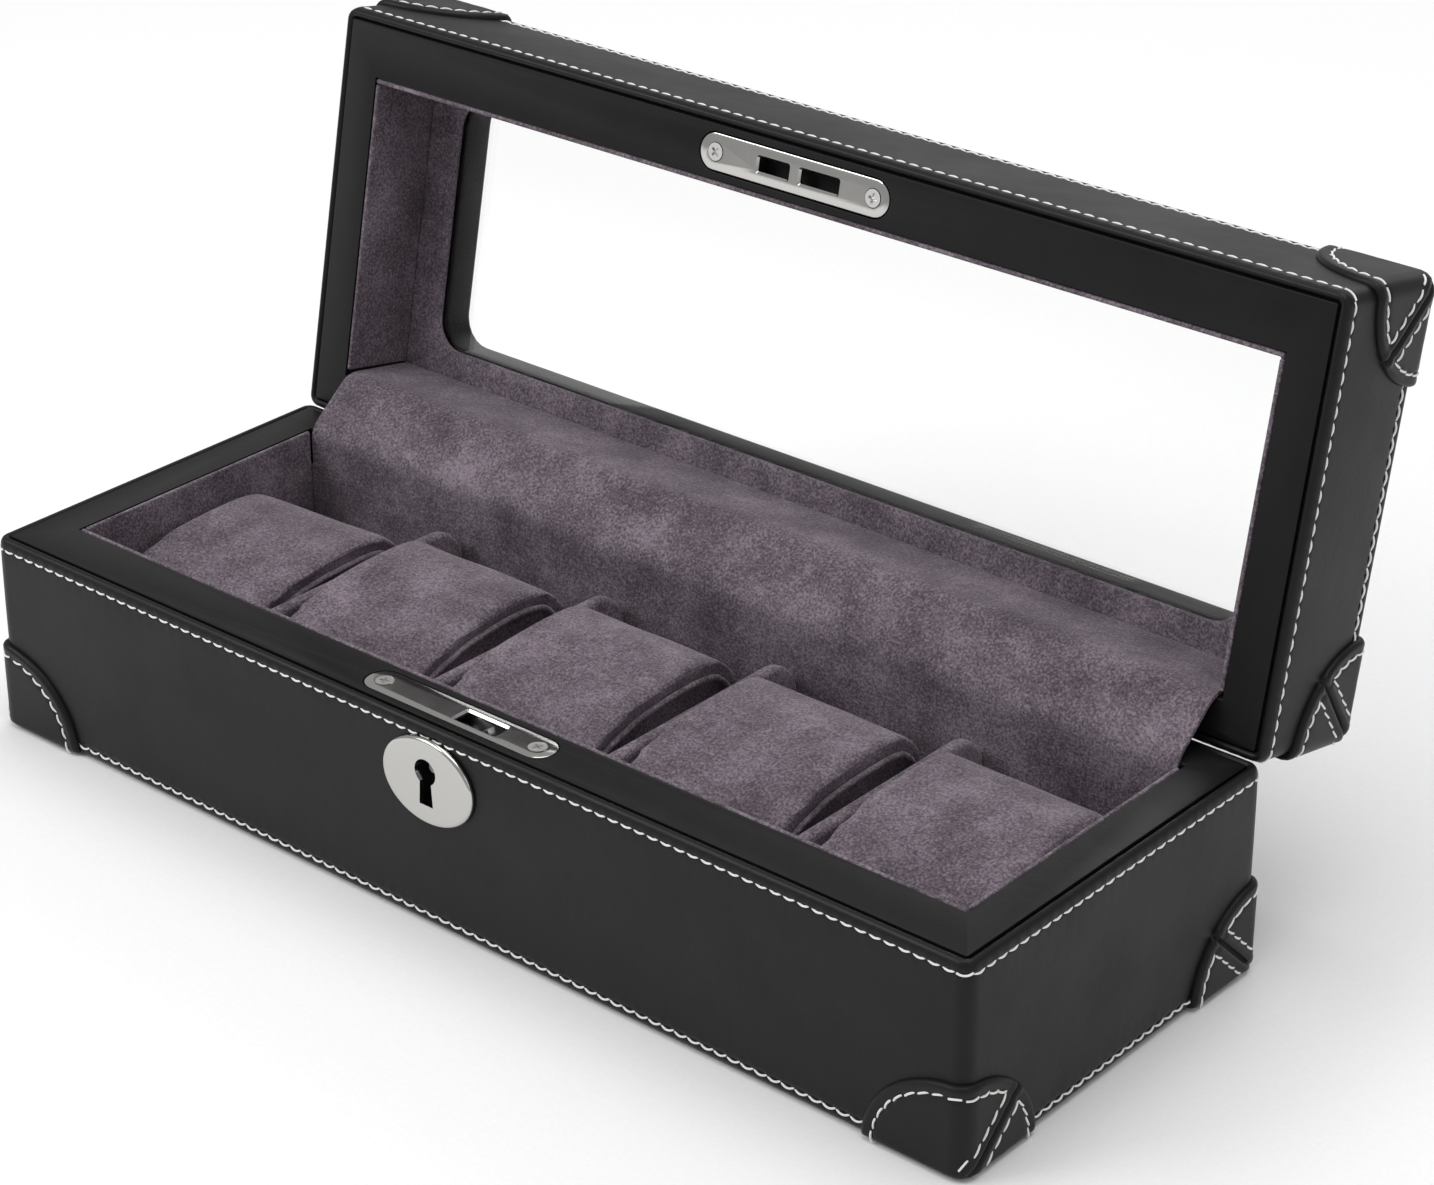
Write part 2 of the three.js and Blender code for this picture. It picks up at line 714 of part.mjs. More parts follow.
// An open-topped box with the key's post and the bolt's pivot riveted across it
function lockCase() {
  const inner = grow(lockCaseArea, -caseWall);
  const postZ = baseHeight - keyDrop;
  const pivotZ = baseHeight - boltPivotDrop;
  const shell = slab(lockCaseArea, lockCaseBottom, lockCaseTop)
    .subtract(slab(inner, lockCaseBottom + caseWall, baseHeight))
    .subtract(keyhole(lockCaseArea.y0 - overcut, lockY));
  const postFront = outside.y0 + keyPostInset;
  const post = rodAlongY(keyX, postZ, keyPostRadius, postFront, lockCaseArea.y1 - caseWall / 2, smallSides);
  const pivotEnds = [lockCaseArea.y0 + caseWall / 2, lockCaseArea.y1 - caseWall / 2];
  return shell.add(post).add(rodAlongY(boltPivotX, pivotZ, boltPivotRadius, ...pivotEnds, smallSides));
}

// A flat hook that swings up through the slot, over the strike plate's bridge and down behind it
function hookBolt() {
  const z = baseHeight - boltPivotDrop;
  const y0 = lockY - boltThickness / 2;
  const y1 = lockY + boltThickness / 2;
  const root = THREE.MathUtils.degToRad(hookRootAngle);
  const tip = Math.asin((boltPivotDrop - hookTipSink) / hookOuterRadius);
  const arc = new THREE.Shape();
  arc.absarc(0, 0, hookOuterRadius, root, tip);
  arc.absarc(0, 0, hookInnerRadius, tip, root, true);
  const webLength = (hookInnerRadius + hookOuterRadius) / 2;
  const web = new THREE.BoxGeometry(webLength, boltThickness, hookWebWidth);
  web.translate(webLength / 2, 0, hookWebWidth / 2);
  web.rotateY(-root).translate(boltPivotX, lockY, z);
  const hook = extrude(arc, alongY, y0, y1).translate([boltPivotX, 0, z]);
  const hub = rodAlongY(boltPivotX, z, boltHubRadius, y0, y1);
  const boreEnds = [y0 - overcut, y1 + overcut];
  const bore = rodAlongY(boltPivotX, z, boltPivotRadius + clearance, ...boreEnds, smallSides);
  return hook.add(solid(web)).add(hub).subtract(bore);
}

function escutcheon() {
  const back = outside.y0 - clearance;
  const oval = new THREE.Shape();
  const middle = baseHeight - keyDrop - escutcheonDrop;
  oval.absellipse(keyX, middle, escutcheonLength / 2, escutcheonHeight / 2, 0, 2 * Math.PI);
  const plate = solid(
    new THREE.ExtrudeGeometry(oval, {
      depth: escutcheonThickness - 2 * escutcheonEdge,
      curveSegments: ovalSteps,
      bevelThickness: escutcheonEdge,
      bevelSize: escutcheonEdge,
      bevelOffset: -escutcheonEdge,
      bevelSegments: 1,
    })
      .translate(0, 0, escutcheonEdge - back)
      .applyMatrix4(alongY),
  );
  return plate.subtract(keyhole(back - 2 * escutcheonThickness, back + overcut));
}

addPiece("lock_case", lockCase(), steel);
addPiece("lock_face_plate", lockFacePlate(), nickel);
addPiece("hook_bolt", hookBolt(), steel);
addPiece("escutcheon", escutcheon(), nickel);
addPiece("strike_plate", strikePlate(), nickel, lid);
for (const [side, x] of [
  ["left", screwPlaces[0]],
  ["right", screwPlaces[1]],
]) {
  addPiece(`lock_screw_${side}`, screw(x, baseHeight, -1), nickel);
  addPiece(`strike_screw_${side}`, screw(x, lidBottom, 1), nickel, lid);
}

export default watchBox;
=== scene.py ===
import json
import math

import bmesh
import bpy
from mathutils import Matrix, Vector, noise
from mathutils.bvhtree import BVHTree
from mathutils.kdtree import KDTree


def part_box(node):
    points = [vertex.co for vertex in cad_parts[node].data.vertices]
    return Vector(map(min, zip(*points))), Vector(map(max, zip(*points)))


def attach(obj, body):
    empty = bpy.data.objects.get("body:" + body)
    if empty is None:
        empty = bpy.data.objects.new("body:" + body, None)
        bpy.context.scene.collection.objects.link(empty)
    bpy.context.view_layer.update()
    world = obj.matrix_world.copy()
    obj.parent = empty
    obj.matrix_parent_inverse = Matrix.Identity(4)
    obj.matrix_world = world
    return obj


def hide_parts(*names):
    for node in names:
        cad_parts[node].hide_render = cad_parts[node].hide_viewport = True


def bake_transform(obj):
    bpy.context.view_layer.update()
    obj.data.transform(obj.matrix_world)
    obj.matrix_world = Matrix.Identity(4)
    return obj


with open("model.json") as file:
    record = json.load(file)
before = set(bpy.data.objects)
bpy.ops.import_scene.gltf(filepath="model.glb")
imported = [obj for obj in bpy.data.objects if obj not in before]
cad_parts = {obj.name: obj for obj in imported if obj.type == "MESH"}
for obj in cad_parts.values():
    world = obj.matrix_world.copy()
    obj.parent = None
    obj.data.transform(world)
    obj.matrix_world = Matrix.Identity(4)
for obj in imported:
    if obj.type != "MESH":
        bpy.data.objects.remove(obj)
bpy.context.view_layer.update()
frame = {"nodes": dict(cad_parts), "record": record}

# ---------------------------------------------------------------- camera, floor and studio light
# The camera looks down on the box from its front right. The floor is a pale sweep of paper, and the
# light is a white room with four large soft boxes, for soft glints on the leather and the nickel.

mm = 0.001
azimuth = math.radians(40.44)
elevation = math.radians(27.02)
camera_distance = 929.6 * mm
focal_length = 92.11  # mm, on a frame 36 mm wide
looking_at = Vector((-0.1, 47.2, 50.6)) * mm
towards_camera = Vector((
    math.sin(azimuth) * math.cos(elevation),
    -math.cos(azimuth) * math.cos(elevation),
    math.sin(elevation),
))


def add_object(name, data):
    """A new object in the scene, at the origin."""
    made = bpy.data.objects.new(name, data)
    bpy.context.scene.collection.objects.link(made)
    return made


camera_lens = bpy.data.cameras.new("camera")
camera_lens.lens = focal_length
camera_lens.sensor_width = 36
camera = add_object("camera", camera_lens)
camera.location = looking_at + camera_distance * towards_camera
camera.rotation_euler = towards_camera.to_track_quat("Z", "Y").to_euler()
bpy.context.scene.camera = camera

# name, place in metres, width and depth in metres, watts
soft_boxes = [
    ("light_front_left", (-0.9, -1.0, 1.2), (1.0, 0.8), 11.5),
    ("light_top", (0.1, 0.1, 1.7), (1.6, 1.2), 14.5),
    ("light_right", (1.4, -0.1, 0.7), (0.6, 0.8), 1.2),
    ("light_behind", (-0.3, 1.5, 1.0), (1.4, 0.7), 4),
]
for name, place, (width, depth), watts in soft_boxes:
    lamp = bpy.data.lights.new(name, "AREA")
    lamp.shape = "RECTANGLE"
    lamp.size = width
    lamp.size_y = depth
    lamp.energy = watts
    light = add_object(name, lamp)
    light.location = place
    light.rotation_euler = (Vector(place) - looking_at).to_track_quat("Z", "Y").to_euler()


def colour(code):
    """An sRGB hex colour as the linear values that a shader takes."""
    channels = [int(code[i : i + 2], 16) / 255 for i in (1, 3, 5)]
    linear = [c / 12.92 if c <= 0.04045 else ((c + 0.055) / 1.055) ** 2.4 for c in channels]
    return (*linear, 1)


def add_node(tree, kind, inputs=(), **settings):
    """One node with its settings. An input's value is a plain value or the socket that feeds it."""
    node = tree.nodes.new(kind)
    for name, value in settings.items():
        setattr(node, name, value)
    for name, value in dict(inputs).items():
        if isinstance(value, bpy.types.NodeSocket):
            tree.links.new(value, node.inputs[name])
        else:
            node.inputs[name].default_value = value
    return node


def start_material(name, **values):
    """A material with its shader's own values set, and the sockets its pattern is built from."""
    made = bpy.data.materials.new(name)
    made.use_nodes = True
    made.node_tree.nodes.clear()
    inputs = {key.replace("_", " "): value for key, value in values.items()}
    shader = add_node(made.node_tree, "ShaderNodeBsdfPrincipled", inputs)
    add_node(made.node_tree, "ShaderNodeOutputMaterial", {"Surface": shader.outputs[0]})
    place = add_node(made.node_tree, "ShaderNodeTexCoord").outputs["Object"]
    return made, made.node_tree, shader, place


def feed(shader, **sockets):
    """Links the shader's inputs to the sockets that drive them."""
    for name, socket in sockets.items():
        shader.id_data.links.new(socket, shader.inputs[name.replace("_", " ")])


def mottled(name, scale, detail, dark, light, strength=0, depth=0, **values):
    """A material whose colour follows one noise, and its height too where it has a depth."""
    made, tree, shader, place = start_material(name, **values)
    pattern = {"Vector": place, "Scale": scale, "Detail": detail}
    mottle = add_node(tree, "ShaderNodeTexNoise", pattern).outputs["Fac"]
    ramp = add_node(tree, "ShaderNodeValToRGB", {"Fac": mottle})
    ramp.color_ramp.elements[0].color = colour(dark)
    ramp.color_ramp.elements[1].color = colour(light)
    feed(shader, Base_Color=ramp.outputs["Color"])
    if depth:
        relief = {"Height": mottle, "Strength": strength, "Distance": depth}
        feed(shader, Normal=add_node(tree, "ShaderNodeBump", relief).outputs["Normal"])
    return made


def new_mesh(name, points, faces):
    mesh = bpy.data.meshes.new(name)
    mesh.from_pydata(points, [], faces)
    return mesh


studio = bpy.data.worlds.new("studio")
studio.use_nodes = True
room_light = studio.node_tree.nodes["Background"].inputs
room_light["Color"].default_value = colour("#ffffff")
room_light["Strength"].default_value = 0.44
bpy.context.scene.world = studio
bpy.context.scene.view_settings.view_transform = "Standard"  # colours come out as they are written

floor_reach = 6  # metres each way
floor_drop = 0.2 * mm  # below the box, so that the two don't touch
corners = [(-1, -1), (1, -1), (1, 1), (-1, 1)]
corners = [(x * floor_reach, y * floor_reach, -floor_drop) for x, y in corners]
floor = add_object("floor", new_mesh("floor", corners, [(0, 1, 2, 3)]))
# The paper's tooth is about 1 mm across
paper = mottled("white paper", 900, 2, "#f4f4f4", "#fbfbfb", Roughness=0.9)
floor.data.materials.append(paper)

# ---------------------------------------------------------------- boards
# The carcass is thin fibreboard, glued up as two trays: four walls and a bottom below, four walls
# and a window frame above. Leather and velvet cover it all, so only its colour and nap are needed.

# Flecks of pressed fibre, 1.2 mm across
fibreboard = mottled(
    "black-dyed fibreboard", 830, 4, "#0e0d0d", "#1d1b1a", 0.3, 0.05 * mm, Roughness=0.85
)


def finish_nodes(names, material):
    """CAD nodes that stay as they are, with a better finish."""
    for name in names:
        node = frame["nodes"][name]
        node.data.materials.clear()
        node.data.materials.append(material)


base_boards = [f"base_board_{side}" for side in ("front", "back", "left", "right", "bottom")]
lid_boards = [f"lid_board_{side}" for side in ("front", "back", "left", "right", "top")]
finish_nodes(base_boards + lid_boards, fibreboard)

# ---------------------------------------------------------------- underside
# A panel of black wool felt closes the bottom. It is glued on inside the leather's turned edge, so
# that the box slides on a table without marking it.

# Matted fibres about 0.5 mm across
felt = mottled(
    "black wool felt", 2000, 5, "#0f0f10", "#2a2a2c", 0.6, 0.15 * mm,
    Roughness=0.95, Sheen_Weight=0.4, Sheen_Roughness=0.6,
)
finish_nodes(["base_underside"], felt)

# ---------------------------------------------------------------- leather covers
# Black leather over thin foam is wrapped round each tray, with a rounded edge folded over the rim
# into a groove. The lid's cover also turns down through the window. A line of white stitching runs
# round it close to each edge, in the shallow puckered groove that the tight thread pulls.

leather, tree, shader, place = start_material("black corrected-grain leather")
shader.inputs["Specular IOR Level"].default_value = 0.22
# Pores 0.7 mm apart, soft creases 9 mm long, and a dull bloom in patches about 25 mm wide
pores = add_node(tree, "ShaderNodeTexVoronoi", {"Vector": place, "Scale": 1400})
creases = add_node(tree, "ShaderNodeTexNoise", {"Vector": place, "Scale": 110, "Detail": 5})
bloom = add_node(tree, "ShaderNodeTexNoise", {"Vector": place, "Scale": 40, "Detail": 3})
tone = add_node(tree, "ShaderNodeValToRGB", {"Fac": creases.outputs["Fac"]})
tone.color_ramp.elements[0].color = colour("#0f0f10")
tone.color_ramp.elements[1].color = colour("#171717")
# Worn edges show a little greyer
edges = add_node(tree, "ShaderNodeNewGeometry").outputs["Pointiness"]
wear = add_node(
    tree,
    "ShaderNodeMapRange",
    {"Value": edges, "From Min": 0.53, "From Max": 0.62, "To Min": 0, "To Max": 0.5},
)
worn = add_node(
    tree,
    "ShaderNodeMix",
    {0: wear.outputs["Result"], 6: tone.outputs["Color"], 7: colour("#232221")},
    data_type="RGBA",
)
dull = add_node(
    tree,
    "ShaderNodeMapRange",
    {
        "Value": bloom.outputs["Fac"],
        "From Min": 0.3,
        "From Max": 0.7,
        "To Min": 0.36,
        "To Max": 0.47,
    },
)
grain = add_node(
    tree,
    "ShaderNodeBump",
    {"Height": pores.outputs["Distance"], "Strength": 0.35, "Distance": 0.05 * mm},
)
relief = add_node(
    tree,
    "ShaderNodeBump",
    {
        "Height": creases.outputs["Fac"],
        "Strength": 0.3,
        "Distance": 0.4 * mm,
        "Normal": grain.outputs["Normal"],
    },
)
feed(
    shader,
    Base_Color=worn.outputs[2],
    Roughness=dull.outputs["Result"],
    Normal=relief.outputs["Normal"],
)

# Two plies, drawn as 0.5 mm bands
thread = mottled(
    "white waxed thread", 2200, 2, "#dedcd8", "#fbfaf8", 0.4, 0.08 * mm, Roughness=0.55
)

# The lid is worked out lying closed, then turned open about its hinge as the frame holds it
joints = {joint["name"]: joint for joint in frame["record"]["behaviour"]["joints"]}
hinge = joints["lid_hinge"]
hinge_point = Vector(hinge["pos_m"])
open_turn = math.radians(min(hinge["range_deg"]))
open_lid = (
    Matrix.Translation(hinge_point)
    @ Matrix.Rotation(open_turn, 4, "X")
    @ Matrix.Translation(-hinge_point)
)
close_lid = open_lid.inverted()


def closed_box(name):
    """A lid node's lowest and highest corners with the lid closed."""
    corners = [close_lid @ vertex.co for vertex in frame["nodes"][name].data.vertices]
    low = Vector([min(corner[i] for corner in corners) for i in range(3)])
    high = Vector([max(corner[i] for corner in corners) for i in range(3)])
    return low, high


base_low, base_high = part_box("base_cover")
lid_low, lid_high = closed_box("lid_cover")
half_length = base_high.x
half_depth = base_high.y
plan_radius = 3.5 * mm
side_stretches = [2 * (half_length - plan_radius), 2 * (half_depth - plan_radius)] * 2
corner_stretch = math.pi / 2 * plan_radius
stitch_pitch = 3.95 * mm
loop_length = sum(side_stretches) + 4 * corner_stretch
stitch_count = round(loop_length / stitch_pitch)


def loop_stop(distance):
    """Where a distance round the outside falls: the side, whether in its corner, how far on."""
    for side, stretch in enumerate(side_stretches):
        if distance < stretch:
            return side, False, distance / stretch
        distance -= stretch
        if distance < corner_stretch:
            return side, True, distance / corner_stretch
        distance -= corner_stretch
    return 0, False, 0


def loop_point(stop, half_x, half_y, radius):
    """That stop's place and outward direction on a rounded rectangle of another size."""
    side, in_corner, share = stop
    x, y = half_x - radius, half_y - radius
    centres = [Vector(c) for c in ((-x, -y), (x, -y), (x, y), (-x, y))]
    start, end = centres[side], centres[(side + 1) % 4]
    angle = math.radians(90 * (side - 1 + (share if in_corner else 0)))
    centre = end if in_corner else start.lerp(end, share)
    out = Vector((math.cos(angle), math.sin(angle)))
    return centre + radius * out, out


def wall_ring(inset, z):
    return half_length - inset, half_depth - inset, max(plan_radius - inset, 0.3 * mm), z


groove_depth = 0.3 * mm
groove_width = 0.75 * mm
pucker = 0.12 * mm
pucker_width = 1.3 * mm
stops_per_stitch = 4
line_room = 1.9 * mm  # each side of a line of stitches, for the close rings of its groove
close_step = 0.4 * mm


def sewn_face(low, high, lines, crown):
    """Rings up a side face, close together at its lines of stitches, padded out between them."""
    heights = [low + (high - low) * i / 12 for i in range(13)]
    for line in lines:
        heights = [z for z in heights if abs(z - line) > line_room]
        heights += [line + step * close_step for step in range(-4, 5)]
    rings = []
    for z in sorted(h for h in heights if low <= h <= high):
        swell = crown * math.sin(math.pi * (z - low) / (high - low))
        sink = sum(groove_depth * math.exp(-(((z - line) / groove_width) ** 2)) for line in lines)
        rings.append(wall_ring(sink - swell, z))
    return rings


def faces_between(rows, across, first=0, round_rows=False, round_across=True):
    """Faces that join rows of points, each row to the next, and round again where it closes."""
    faces = []
    for k in range(rows if round_rows else rows - 1):
        this, following = first + k * across, first + (k + 1) % rows * across
        for i in range(across if round_across else across - 1):
            j = (i + 1) % across
            faces.append((this + i, this + j, following + j, following + i))
    return faces


def loop_mesh(name, rings, lines):
    """A closed skin through rings one after another, puckered at each line of stitches."""
    count = stitch_count * stops_per_stitch
    stops = [loop_stop(loop_length * i / count) for i in range(count)]
    points = []
    for half_x, half_y, radius, z, *middle in rings:
        shift = Vector((0, *(middle or [0])))
        near = sum(math.exp(-(((z - line) / pucker_width) ** 2)) for line in lines)
        for i, stop in enumerate(stops):
            at, out = loop_point(stop, half_x, half_y, radius)
            wave = math.cos(2 * math.pi * i / stops_per_stitch)
            points.append((*(at + shift + out * pucker * near * wave), z))
    return outward(new_mesh(name, points, faces_between(len(rings), count, round_rows=True)))


def outward(mesh):
    """Merges doubled points and turns every face outwards."""
    work = bmesh.new()
    work.from_mesh(mesh)
    bmesh.ops.remove_doubles(work, verts=work.verts, dist=1e-6)
    bmesh.ops.recalc_face_normals(work, faces=work.faces)
    work.to_mesh(mesh)
    work.free()
    return mesh


def place_piece(name, mesh, material, sharp_angle=40):
    """A new object at the origin, smooth but for edges sharper than the angle."""
    mesh.materials.clear()
    mesh.materials.append(material)
    mesh.polygons.foreach_set("use_smooth", [True] * len(mesh.polygons))
    mesh.set_sharp_from_angle(angle=math.radians(sharp_angle))
    return add_object(name, mesh)


def settle(piece):
    """Makes a piece's modifiers into plain mesh and removes them."""
    shape = piece.evaluated_get(bpy.context.evaluated_depsgraph_get())
    mesh = bpy.data.meshes.new_from_object(shape)
    mesh.name = piece.name
    piece.modifiers.clear()
    piece.data = mesh


def carve(mesh, cutters):
    """Cuts closed shapes out of a mesh."""
    body = add_object("carving", mesh)
    knives = []
    for cutter in cutters:
        knife = add_object("knife", cutter)
        cut = body.modifiers.new("cut", "BOOLEAN")
        cut.operation = "DIFFERENCE"
        cut.solver = "EXACT"
        cut.object = knife
        knives.append(knife)
    settle(body)
    carved = body.data
    for spare in (body, *knives):
        bpy.data.objects.remove(spare)
    return carved


def fix_on(piece, body, slot, *stands_for):
    """The body a piece moves with, and its CAD nodes. The slot is not used."""
    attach(piece, body)
    if stands_for:
        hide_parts(*stands_for)


def mesh_of(work, name):
    mesh = bpy.data.meshes.new(name)
    work.to_mesh(mesh)
    work.free()
    return mesh


def block(low, high):
    work = bmesh.new()
    bmesh.ops.create_cube(work, size=1)
    middle, size = (Vector(low) + Vector(high)) / 2, Vector(high) - Vector(low)
    work.transform(Matrix.Translation(middle) @ Matrix.Diagonal((*size, 1)))
    return mesh_of(work, "block")


def rod(start, end, radius, sides=32):
    work = bmesh.new()
    along = Vector(end) - Vector(start)
    bmesh.ops.create_cone(
        work, cap_ends=True, segments=sides, radius1=radius, radius2=radius, depth=along.length
    )
    middle = Matrix.Translation((Vector(start) + Vector(end)) / 2)
    work.transform(middle @ along.to_track_quat("Z", "Y").to_matrix().to_4x4())
    return mesh_of(work, "rod")


fit = 0.3 * mm  # between pieces that touch
rim_thickness = 1.2 * mm
wall = 2.7 * mm
edge_radius = 2.4 * mm
quarter = [math.pi / 2 * i / 6 for i in range(7)]
fold_in, fold_up = 1.5, 2.6  # mm, the rounded edge's width and height
groove_in, groove_down = 1.25, 1.7  # mm, from there into the groove
groove_bottom = 4 * mm


def folded_rim(rim_z, up):
    """The padded edge: from the face, over the rim, and down into the groove beside the frame."""
    over = [
        wall_ring(
            fold_in * mm * (1 - math.cos(a)), rim_z + up * (fold_up * math.sin(a) - fold_up) * mm
        )
        for a in quarter
    ]
    into = [
        wall_ring(
            (fold_in + groove_in * math.sin(a)) * mm,
            rim_z + up * (groove_down * math.cos(a) - groove_down) * mm,
        )
        for a in quarter[1:]
    ]
    return over + into


face_crown = 0.2 * mm
past_edge, past_fold = 2.45 * mm, 2.65 * mm  # where the flat face ends, just clear of its curves
base_lines = [base_low.z + 3.2 * mm, base_high.z - 2.6 * mm]
base_rings = [
    wall_ring(edge_radius * (1 - math.sin(a)), edge_radius * (1 - math.cos(a))) for a in quarter
]
base_rings += sewn_face(past_edge, base_high.z - past_fold, base_lines, face_crown)
base_rings += folded_rim(base_high.z, 1)
base_rings += [wall_ring(wall, base_high.z - groove_bottom), wall_ring(wall, 0)]

knuckle_room = 2.3 * mm
hinge_rooms = {"base": [], "lid": []}
for side in ("left", "right"):
    leaf_low, leaf_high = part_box(f"hinge_{side}_base_leaf")
    x0, x1 = leaf_low.x - fit, leaf_high.x + fit
    front, behind = leaf_low.y - fit, half_depth + 10 * mm
    rim_bottom, rim_top = base_high.z, lid_low.z
    _, pin_y, pin_z = hinge_point
    knuckle = rod((x0, pin_y, pin_z), (x1, pin_y, pin_z), knuckle_room)
    notch = rim_thickness + fit
    base_notch = block((x0, front, rim_bottom - notch), (x1, behind, rim_top + notch))
    hinge_rooms["base"] += [base_notch, knuckle]
    hinge_rooms["lid"] += [base_notch.copy(), knuckle.copy()]

patch_radius = 25.5 * mm
patch_seat_top = 1.6 * mm
patch_seats = [
    rod(
        (sx * half_length, sy * half_depth, -2 * mm),
        (sx * half_length, sy * half_depth, patch_seat_top),
        patch_radius + fit,
        64,
    )
    for sx in (-1, 1)
    for sy in (-1, 1)
]
key_x = -0.6 * mm
key_z = base_high.z - 11.2 * mm
keyhole_radius = 3.4 * mm
keyhole_half = 2.2 * mm
keyhole_reach = 9 * mm


def keyhole(proud, grown, sides):
    """The keyhole's round eye and its slot, as two shapes that cut through the front."""
    outside, inside = -half_depth - proud, -half_depth + 6 * mm
    return [
        rod((key_x, outside, key_z), (key_x, inside, key_z), keyhole_radius + grown, sides),
        block(
            (key_x - keyhole_half - grown, outside, key_z - keyhole_reach - grown),
            (key_x + keyhole_half + grown, inside, key_z),
        ),
    ]


base_skin = loop_mesh("base_wrap", base_rings, base_lines)
base_skin = carve(base_skin, patch_seats + keyhole(3 * mm, fit, 32) + hinge_rooms["base"])
fix_on(place_piece("base_wrap", base_skin, leather), "base", "leather", "base_cover")

window_half_x = 131.8 * mm
window_half_y = 34.8 * mm
window_radius = 8 * mm
window_round = 1.6 * mm
lip = 1.5 * mm
lip_bottom = closed_box("lid_board_top")[0].z


def window_ring(grown, z):
    return window_half_x + grown, window_half_y + grown, window_radius + grown, z


lid_lines = [lid_low.z + 2.6 * mm, lid_high.z - 3.9 * mm]
lid_rings = list(reversed(folded_rim(lid_low.z, -1)))
lid_rings += sewn_face(lid_low.z + past_fold, lid_high.z - past_edge, lid_lines, face_crown)
lid_rings += [
    wall_ring(edge_radius * (1 - math.cos(a)), lid_high.z - edge_radius * (1 - math.sin(a)))
    for a in quarter
]
outer_edge = wall_ring(edge_radius, lid_high.z)
inner_edge = window_ring(window_round, lid_high.z)
top_steps = 12
top_crown = 0.35 * mm
for i in range(1, top_steps):
    share = i / top_steps
    half_x, half_y, radius, z = [a + (b - a) * share for a, b in zip(outer_edge, inner_edge)]
    lid_rings.append((half_x, half_y, radius, z + top_crown * math.sin(math.pi * share)))
lid_rings += [
    window_ring(window_round * (1 - math.sin(a)), lid_high.z - window_round * (1 - math.cos(a)))
    for a in quarter
]
lid_rings += [
    window_ring(0, lip_bottom + 1 * mm),
    window_ring(0.3 * mm, lip_bottom + 0.3 * mm),
    window_ring(lip - 0.5 * mm, lip_bottom),
    window_ring(lip, lip_bottom + 0.2 * mm),
    window_ring(lip, lid_high.z - wall),
    wall_ring(wall, lid_high.z - wall),
    wall_ring(wall, lid_low.z + groove_bottom),
]
lid_skin = carve(loop_mesh("lid_wrap", lid_rings, lid_lines), hinge_rooms["lid"])
lid_skin.transform(open_lid)
fix_on(place_piece("lid_wrap", lid_skin, leather), "lid", "leather", "lid_cover")


def start_tree(name, **sockets):
    """A tree with named inputs, their sockets inside it, and their identifiers by name."""
    tree = bpy.data.node_groups.new(name, "GeometryNodeTree")
    identifiers = {}
    for label, kind in sockets.items():
        socket = tree.interface.new_socket(label, in_out="INPUT", socket_type=f"NodeSocket{kind}")
        identifiers[label] = socket.identifier
    tree.interface.new_socket("Pieces", in_out="OUTPUT", socket_type="NodeSocketGeometry")
    return tree, add_node(tree, "NodeGroupInput").outputs, identifiers


def end_tree(tree, given, shape, spin=None):
    """Puts the shape on every point, facing out and along, turned by the spin, as one mesh."""
    out, along = [
        add_node(
            tree, "GeometryNodeInputNamedAttribute", {"Name": label}, data_type="FLOAT_VECTOR"
        ).outputs[0]
        for label in ("out", "along")
    ]
    facing = add_node(
        tree,
        "FunctionNodeAxesToRotation",
        {"Primary Axis": out, "Secondary Axis": along},
        primary_axis="Z",
        secondary_axis="X",
    )
    if spin:
        turns = {"Rotation": facing.outputs[0], "Rotate By": spin}
        facing = add_node(tree, "FunctionNodeRotateRotation", turns, rotation_space="LOCAL")
    parts = {"Points": given["Points"], "Instance": shape, "Rotation": facing.outputs[0]}
    set_down = add_node(tree, "GeometryNodeInstanceOnPoints", parts)
    real = add_node(tree, "GeometryNodeRealizeInstances", {"Geometry": set_down.outputs[0]})
    finish = {"Geometry": real.outputs[0], "Material": given["Material"]}
    finished = add_node(tree, "GeometryNodeSetMaterial", finish)
    add_node(tree, "NodeGroupOutput", {"Pieces": finished.outputs[0]})


def run_tree(name, rows, tree, identifiers, **values):
    """What a tree makes on points at (place, outward, along), as one plain mesh."""
    mesh = new_mesh(name, [at for at, _, _ in rows], [])
    for label, column in (("out", 1), ("along", 2)):
        attribute = mesh.attributes.new(label, "FLOAT_VECTOR", "POINT")
        attribute.data.foreach_set("vector", [v for row in rows for v in row[column]])
    piece = add_object(name, mesh)
    modifier = piece.modifiers.new("tree", "NODES")
    modifier.node_group = tree
    for label, value in values.items():
        modifier[identifiers[label]] = value
    settle(piece)
    piece.data.polygons.foreach_set("use_smooth", [True] * len(piece.data.polygons))
    return piece


# A stitch is a short length of thread that rises out of one hole and dives into the next
stitching, given, stitch_inputs = start_tree(
    "Stitching",
    Points="Geometry",
    Length="Float",
    Width="Float",
    Slant="Float",
    Bow="Float",
    Seed="Int",
    Material="Material",
)
half, back = [
    add_node(
        stitching, "ShaderNodeMath", {0: given["Length"], 1: share}, operation="MULTIPLY"
    ).outputs[0]
    for share in (0.5, -0.5)
]
sunk, risen, radius = [
    add_node(
        stitching, "ShaderNodeMath", {0: given["Width"], 1: share}, operation="MULTIPLY"
    ).outputs[0]
    for share in (-0.35, 0.95, 0.5)
]
start = add_node(stitching, "ShaderNodeCombineXYZ", {"X": back, "Z": sunk})
top = add_node(stitching, "ShaderNodeCombineXYZ", {"Y": given["Bow"], "Z": risen})
end = add_node(stitching, "ShaderNodeCombineXYZ", {"X": half, "Z": sunk})
strand = add_node(
    stitching,
    "GeometryNodeCurveQuadraticBezier",
    {
        "Resolution": 8,
        "Start": start.outputs[0],
        "Middle": top.outputs[0],
        "End": end.outputs[0],
    },
)
